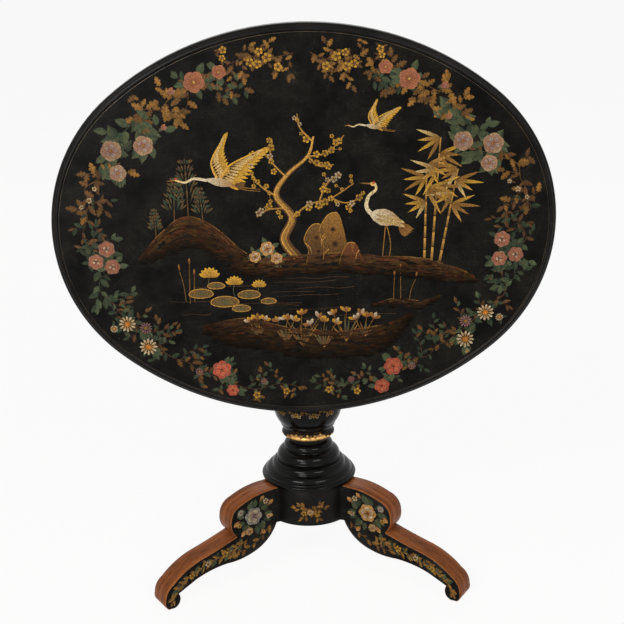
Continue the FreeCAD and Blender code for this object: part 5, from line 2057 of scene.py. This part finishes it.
    def build(self) -> None:
        """Make the legs and paint both sides of each."""
        laid: list[tuple[Pattern, Surface]] = []
        for node, degrees in self.angles:
            angle = radians(degrees)
            new_piece(f"{node}_sawn", self.leg_mesh(f"{node}_sawn", angle), "base", [node])
            out, side = ways(angle)
            for way in (1, -1):
                surface = FlatSurface(side * way * self.half_thickness * MM, out * -way, UP, float(-way))
                middle = Motif.GREY_PEONY if way > 0 else Motif.CREAM_PEONY
                laid.append((self.flowers(middle, self.seed + len(laid)), surface))
        mesh = self.stamps.lay("painted_legs", laid, self.finishes.paint)
        new_piece("painted_legs", mesh, "base")

    def flowers(self, middle: Motif, seed: int) -> Pattern:
        """Flowers for one side of a leg: a bunch on the knee and sprays down to the toe.

        Args:
            middle: Flower at the middle of the bunch.
            seed: Seed of the small differences.

        Returns:
            The side's strokes and stamps, within its outline.
        """
        rng = random.Random(seed)
        side = Pattern(limit=self.inset_outline(self.outline(), self.paint_margin))
        gold = (Motif.GOLD_LEAF, Motif.OCHRE_LOBED, Motif.OCHRE_LOBED)
        way = side.sprig([(168, 108), (206, 92), (250, 82), (292, 68), (326, 44), (343, 20)], gold, 17,
                         Paint.BRONZE, rng, 6.0, 1.5)
        for share in (0.12, 0.24, 0.38, 0.50, 0.62, 0.74, 0.86):
            u, v = way[int(share * (len(way) - 1))]
            for turn in (1.9, -1.2):
                heading = turn + rng.uniform(-0.4, 0.4)
                side.stamp(rng.choice((Motif.DARK_LEAF, Motif.GREEN_LEAF)), u, v, rng.uniform(15, 21),
                           heading, rng.uniform(0.7, 1.0))
                side.stamp(Motif.GOLD_LEAF, u + 4, v - 2, rng.uniform(12, 17), heading + 0.6,
                           rng.uniform(0.8, 1.1))
        side.sprig([(112, 128), (136, 104), (168, 88), (204, 80)], (Motif.LOBED_LEAF, Motif.OCHRE_LOBED), 15,
                   Paint.BRONZE, rng, 7.0, 1.2)
        for step in range(13):
            angle = 2 * pi * step / 13 + 0.2
            u, v = 150 + 24 * cos(angle), 155 + 21 * sin(angle)
            leaf = (Motif.GREEN_LEAF, Motif.DARK_LEAF, Motif.HEART_LEAF)[step % 3]
            side.stamp(leaf, u, v, rng.uniform(19, 25), angle + rng.uniform(-0.4, 0.4), rng.uniform(0.7, 1.0))
        petals = ((118, 172, 18, 2.4), (124, 152, 19, 3.4), (176, 180, 18, 0.9), (184, 156, 19, -0.2),
                  (170, 132, 19, -0.9), (138, 186, 17, 1.9), (136, 124, 17, -2.2))
        for u, v, size, turn in petals:
            side.stamp(Motif.TAN_PETAL, u, v, size, turn, rng.uniform(0.8, 1.1))
        bunch = (
            (middle, 152, 157, 22), (Motif.GREY_PEONY, 182, 172, 8), (Motif.PLUM_BLOSSOM, 122, 184, 7),
            (Motif.CREAM_PEONY, 163, 125, 10), (Motif.PLUM_BLOSSOM, 116, 148, 6),
            (Motif.BLOSSOM, 186, 144, 6), (Motif.BLOSSOM, 222, 90, 8), (Motif.PLUM_BLOSSOM, 262, 78, 7),
            (Motif.BLOSSOM, 300, 62, 7), (Motif.BLOSSOM, 334, 30, 6),
        )
        for motif, u, v, size in bunch:
            side.stamp(motif, u, v, size, rng.uniform(0, 1), rng.uniform(0.8, 1.0))
        return side


class ScrewTree(NodePlan):
    """Geometry nodes that set slotted screw heads on points that carry their own facing."""

    # Shares of a head's radius.
    HEIGHT = 0.3
    SLOT = 0.24
    SEED = 7

    def __init__(self) -> None:
        """Build the tree."""
        super().__init__("slotted_screws",
                         {"Head Radius": "Float", "Head Height": "Float", "Slot Width": "Float"})
        tree, given = self.tree, self.given
        head = add(tree, "GeometryNodeMeshCylinder", {
            "Vertices": 24, "Radius": given["Head Radius"], "Depth": given["Head Height"]})
        long = add(tree, "ShaderNodeMath", {0: given["Head Radius"], 1: 3.0}, operation="MULTIPLY")
        size = add(tree, "ShaderNodeCombineXYZ", {0: long, 1: given["Slot Width"], 2: given["Head Height"]})
        lifted = add(tree, "ShaderNodeMath", {0: given["Head Height"], 1: 0.6}, operation="MULTIPLY")
        bar = add(tree, "GeometryNodeTransform", {
            "Geometry": add(tree, "GeometryNodeMeshCube", {"Size": size}),
            "Translation": add(tree, "ShaderNodeCombineXYZ", {2: lifted})})
        slotted = add(tree, "GeometryNodeMeshBoolean", {0: head, 1: bar}, operation="DIFFERENCE")
        facing = add(tree, "GeometryNodeInputNamedAttribute", {"Name": "facing"}, data_type="FLOAT_VECTOR")
        self.end(add(tree, "GeometryNodeInstanceOnPoints", {
            "Points": given["Geometry"], "Instance": slotted,
            "Rotation": add(tree, "FunctionNodeEulerToRotation", {"Euler": facing})}))

    def drive(self, name: str, places: Sequence[tuple[Vector, Vector]], radius_mm: float,
              metal: Material) -> Mesh:
        """Set screws at places.

        Args:
            name: Name of the new mesh.
            places: Points on the surface and the ways that their heads face.
            radius_mm: Radius of a head.
            metal: Material of the screws.

        Returns:
            A plain mesh of all the heads.
        """
        rng = random.Random(self.SEED)
        plan = bpy.data.meshes.new(f"{name}_plan")
        plan.from_pydata([spot for spot, _ in places], [], [])
        turns = []
        for _, way in places:
            spin = Matrix.Rotation(rng.uniform(0, pi), 3, "Z")
            turns += (way.to_track_quat("Z", "Y").to_matrix() @ spin).to_euler()
        plan.attributes.new("facing", "FLOAT_VECTOR", "POINT").data.foreach_set("vector", turns)
        mesh = self.run(name, plan, {
            "Head Radius": radius_mm * MM, "Head Height": radius_mm * self.HEIGHT * MM,
            "Slot Width": radius_mm * self.SLOT * MM, "Finish": metal})
        shade(mesh)
        return mesh


@dataclass
class Underside:
    """What carries the top: block, bearers, pins, catch and brace, with their screws. Millimetres."""

    finishes: Finishes
    screws: ScrewTree
    spring_turns: float = 6.0
    spring_wire: float = 0.9
    spring_steps: int = 24
    knob_bore: float = 2.6
    knob_depth: float = 8.0
    catch_plate_thickness: float = 2.0

    def build(self) -> None:
        """Dress the hidden pieces and set their screws."""
        made = self.finishes
        kept = [
            ("pillar_block", "base", made.back, 1.5, "japanned_wood"),
            ("tenon_wedge", "base", made.wedge, 0.25, "plain_wood"),
            ("strike_plate", "base", made.brass, 0.2, "brass"),
            ("brace_plate", "base", made.iron, 0.4, "iron"),
            ("bearer_left", "top", made.bearer, 1.2, "plain_wood"),
            ("bearer_right", "top", made.bearer, 1.2, "plain_wood"),
            ("pivot_pin_left", "top", made.brass, 0.5, "brass"),
            ("pivot_pin_right", "top", made.brass, 0.5, "brass"),
            ("catch_plate", "top", made.brass, 0.25, "brass"),
            ("catch_bolt", "catch_bolt", made.brass, 0.25, "brass"),
        ]
        holed = ("pillar_block", "strike_plate", "catch_plate")
        for node, body, finish, arris, slot in kept:
            new_piece(f"{node}_worn", worn_copy(node, finish, arris, node in holed), body, [node])
        self.build_knob()
        self.build_spring()
        self.build_screws()

    def build_knob(self) -> None:
        """Turn the catch's pull, with a groove round its middle."""
        low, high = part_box("catch_knob")
        radius = (high.x - low.x) / 2 / MM
        length = (high.z - low.z) / MM
        shares = [(0.72, 0.0), (0.62, 0.3, 0.58, 0.15), (1.0, 0.62, 0.95, 0.4), (0.5, 1.0, 0.92, 0.9),
                  (0.0, 1.0)]
        rows = [[share * (length if place % 2 else radius) for place, share in enumerate(row)]
                for row in shares]
        bore = [(0.0, self.knob_depth), (self.knob_bore, self.knob_depth)]
        outline = outline_of([(self.knob_bore, 0.0), *rows, *bore], 8)
        mesh = turned_mesh("knob_turning", outline, self.finishes.brass, 48)
        mesh.transform(Matrix.Translation(((low.x + high.x) / 2, (low.y + high.y) / 2, low.z)))
        new_piece("knob_turning", mesh, "catch_bolt", ["catch_knob"])

    def build_spring(self) -> None:
        """Wind the catch's spring from round wire."""
        low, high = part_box("catch_spring")
        wire_radius = self.spring_wire / 2 * MM
        winder = NodePlan("wound_spring", {
            "Turns": "Float", "Radius": "Float", "Rise": "Float", "Wire Radius": "Float", "Foot": "Vector"})
        tree, given = winder.tree, winder.given
        helix = add(tree, "GeometryNodeCurveSpiral", {
            "Resolution": self.spring_steps, "Rotations": given["Turns"], "Start Radius": given["Radius"],
            "End Radius": given["Radius"], "Height": given["Rise"]})
        section = add(tree, "GeometryNodeCurvePrimitiveCircle", {
            "Resolution": 10, "Radius": given["Wire Radius"]})
        wire = add(tree, "GeometryNodeCurveToMesh", {
            "Curve": helix, "Profile Curve": section, "Fill Caps": True})
        winder.end(add(tree, "GeometryNodeTransform", {"Geometry": wire, "Translation": given["Foot"]}))
        mesh = winder.run("spring_wound", bpy.data.meshes.new("spring_plan"), {
            "Turns": self.spring_turns, "Radius": (high.x - low.x) / 2 - wire_radius,
            "Rise": high.z - low.z - 2 * wire_radius, "Wire Radius": wire_radius,
            "Foot": ((low.x + high.x) / 2, (low.y + high.y) / 2, low.z + wire_radius),
            "Finish": self.finishes.steel})
        shade(mesh, 60.0)
        spring = new_piece("spring_wound", mesh, "top", ["catch_spring"])
        slide = next(joint for joint in frame["joints"] if joint["name"] == "catch_slide")
        travel = slide["range_m"][1]
        1 - travel / (high.z - low.z)
        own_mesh(spring)

    def build_screws(self) -> None:
        """Set the screws of the bearers, the catch, the striking plate and the brace."""
        brass, iron = self.finishes.brass, self.finishes.iron
        backward, downward = Vector((0.0, 1.0, 0.0)), Vector((0.0, 0.0, -1.0))
        places: dict[str, list[tuple[Vector, Vector]]] = {
            "bearer": [], "catch": [], "strike": [], "brace": []}
        for node in ("bearer_left", "bearer_right"):
            low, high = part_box(node)
            for share in (0.17, 0.36, 0.64, 0.83):
                spot = Vector(((low.x + high.x) / 2, high.y, low.z + (high.z - low.z) * share))
                places["bearer"].append((spot, backward))
        low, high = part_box("catch_plate")
        for u in (-17, 17):
            for share in (0.2, 0.8):
                level = low.z + (high.z - low.z) * share
                spot = Vector((u * MM, low.y + self.catch_plate_thickness * MM, level))
                places["catch"].append((spot, backward))
        low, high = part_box("strike_plate")
        for u in (-15, 15):
            places["strike"].append((Vector((u * MM, high.y, (low.z + high.z) / 2)), backward))
        foot = Vector((0.0, 0.0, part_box("brace_plate")[0].z))
        for degrees in (-30, 90, 210):
            way, _ = ways(radians(degrees))
            for reach in (40, 74):
                places["brace"].append((way * reach * MM + foot, downward))
        kinds = (("bearer", 4.5, iron, "top", "iron"), ("catch", 2.6, brass, "top", "brass"),
                 ("strike", 2.6, brass, "base", "brass"), ("brace", 4.0, iron, "base", "iron"))
        for kind, radius, metal, body, slot in kinds:
            name = f"{kind}_screws"
            new_piece(name, self.screws.drive(name, places[kind], radius, metal), body)


@dataclass
class Studio:
    """Pale floor, soft light and the camera at the photograph's viewing angle. Metres and degrees."""

    # Fitted so that the oval, the drum and the toes fall where the photograph has them.
    picture_px: float = 624.0
    focal_px: float = 1519.4
    distance: float = 2.9475
    height: float = 1.5881
    pitch: float = 19.078
    pan: float = 0.2524
    roll: float = -1.1015
    swing: float = 0.8836
    floor_radius: float = 60.0
    sensor_mm: float = 36.0

    def build(self) -> None:
        """Make the floor, the world, the lamps and the camera."""
        bpy.context.scene.view_settings.view_transform = "Standard"
        self.build_floor()
        self.build_world()
        self.add_lamp("softbox_left", (-1.6, -2.6, 2.3), (0.0, -0.1, 0.6), (1.5, 0.8), 60.0)
        self.add_lamp("softbox_right", (1.6, -2.6, 2.3), (0.0, -0.1, 0.6), (1.5, 0.8), 37.0)
        self.add_lamp("softbox_back", (0.0, 3.4, 2.6), (0.0, 0.1, 0.6), (1.8, 1.2), 22.0)
        # The card shows as a sheen on the lacquer and lights nothing else.
        sheen = self.add_lamp("card_left", (-1.5, -3.9, 0.75), (-0.4, 0.1, 0.9), (1.5, 1.2), 56.0)
        sheen.visible_diffuse = False
        self.build_camera()

    def backdrop_rays(self, tree: NodeTree) -> Node:
        """A node that gives 1 for rays that show the backdrop: camera, glossy and transmission ones.

        Args:
            tree: Tree that takes the nodes.

        Returns:
            The node.
        """
        path = add(tree, "ShaderNodeLightPath").outputs
        shown = add(tree, "ShaderNodeMath", {
            0: path["Is Camera Ray"], 1: path["Is Glossy Ray"]}, operation="MAXIMUM")
        return add(tree, "ShaderNodeMath", {0: shown, 1: path["Is Transmission Ray"]}, operation="MAXIMUM")

    def build_floor(self) -> None:
        """A round pale floor that keeps the table's shadow."""
        form = bmesh.new()
        bmesh.ops.create_circle(form, cap_ends=True, segments=96, radius=self.floor_radius)
        mesh = bpy.data.meshes.new("floor")
        form.to_mesh(mesh)
        form.free()
        floor = bpy.data.objects.new("floor", mesh)
        bpy.context.scene.collection.objects.link(floor)
        material = bpy.data.materials.new("pale_floor")
        material.use_nodes = True
        tree = material.node_tree
        tree.nodes.clear()
        matt = add(tree, "ShaderNodeBsdfDiffuse", {"Color": linear("#f6f5f3")})
        white = add(tree, "ShaderNodeEmission", {"Color": linear("#ffffff"), "Strength": 1.0})
        # What is left of the floor's look is its matt surface, which takes the shadow.
        share = add(tree, "ShaderNodeMath", {0: self.backdrop_rays(tree), 1: 0.92}, operation="MULTIPLY")
        mixed = add(tree, "ShaderNodeMixShader", {0: share, 1: matt, 2: white})
        add(tree, "ShaderNodeOutputMaterial", {"Surface": mixed})
        mesh.materials.append(material)

    def build_world(self) -> None:
        """A white backdrop that lights the table only softly."""
        world = bpy.data.worlds.new("studio")
        world.use_nodes = True
        tree = world.node_tree
        tree.nodes.clear()
        dim = add(tree, "ShaderNodeBackground", {"Color": linear("#ffffff"), "Strength": 0.24})
        white = add(tree, "ShaderNodeBackground", {"Color": linear("#ffffff"), "Strength": 1.0})
        mixed = add(tree, "ShaderNodeMixShader", {0: self.backdrop_rays(tree), 1: dim, 2: white})
        add(tree, "ShaderNodeOutputWorld", {"Surface": mixed})
        bpy.context.scene.world = world

    def add_lamp(self, name: str, place: Sequence[float], aim: Sequence[float], size: Point,
                 power: float) -> Object:
        """Add a softbox.

        Args:
            name: Its name.
            place: Where it stands.
            aim: What it points at.
            size: Its width and height.
            power: Its power in watts.

        Returns:
            The lamp.
        """
        data = bpy.data.lights.new(name, "AREA")
        data.shape = "RECTANGLE"
        data.size, data.size_y = size
        data.energy = power
        lamp = bpy.data.objects.new(name, data)
        lamp.visible_camera = False
        bpy.context.scene.collection.objects.link(lamp)
        lamp.location = place
        lamp.rotation_mode = "QUATERNION"
        lamp.rotation_quaternion = (Vector(aim) - Vector(place)).to_track_quat("-Z", "Y")
        return lamp

    def build_camera(self) -> None:
        """The camera, placed by its distance, height and turns."""
        around = radians(-self.swing)
        pan, pitch, roll = (radians(turn) for turn in (self.pan, self.pitch, self.roll))
        across, onward = ways(around)
        ahead = onward * cos(pan) + across * sin(pan)
        level = across * cos(pan) - onward * sin(pan)
        sight = ahead * cos(pitch) - UP * sin(pitch)
        steep = UP * cos(pitch) + ahead * sin(pitch)
        right = level * cos(roll) + steep * sin(roll)
        over = steep * cos(roll) - level * sin(roll)
        data = bpy.data.cameras.new("camera")
        data.sensor_width = self.sensor_mm
        data.lens = self.focal_px / self.picture_px * self.sensor_mm
        camera = bpy.data.objects.new("camera", data)
        bpy.context.scene.collection.objects.link(camera)
        turned = Matrix((right, over, -sight)).transposed().to_4x4()
        spot = Vector((sin(around) * self.distance, -cos(around) * self.distance, self.height))
        camera.matrix_world = Matrix.Translation(spot) @ turned
        bpy.context.scene.camera = camera


def main() -> None:
    """Build the table's sub-assemblies in order."""
    logging.basicConfig(level=logging.INFO, format="%(name)s: %(message)s")
    Studio().build()
    finishes = Finishes()
    stamps = StampTree()
    top = OvalTop(finishes, stamps)
    top.build_board()
    top.build_painting()
    TurnedStem(finishes, stamps).build()
    ScrollLegs(finishes, stamps).build()
    stamps.clear()
    Underside(finishes, ScrewTree()).build()


if __name__ == "__main__":
    main()
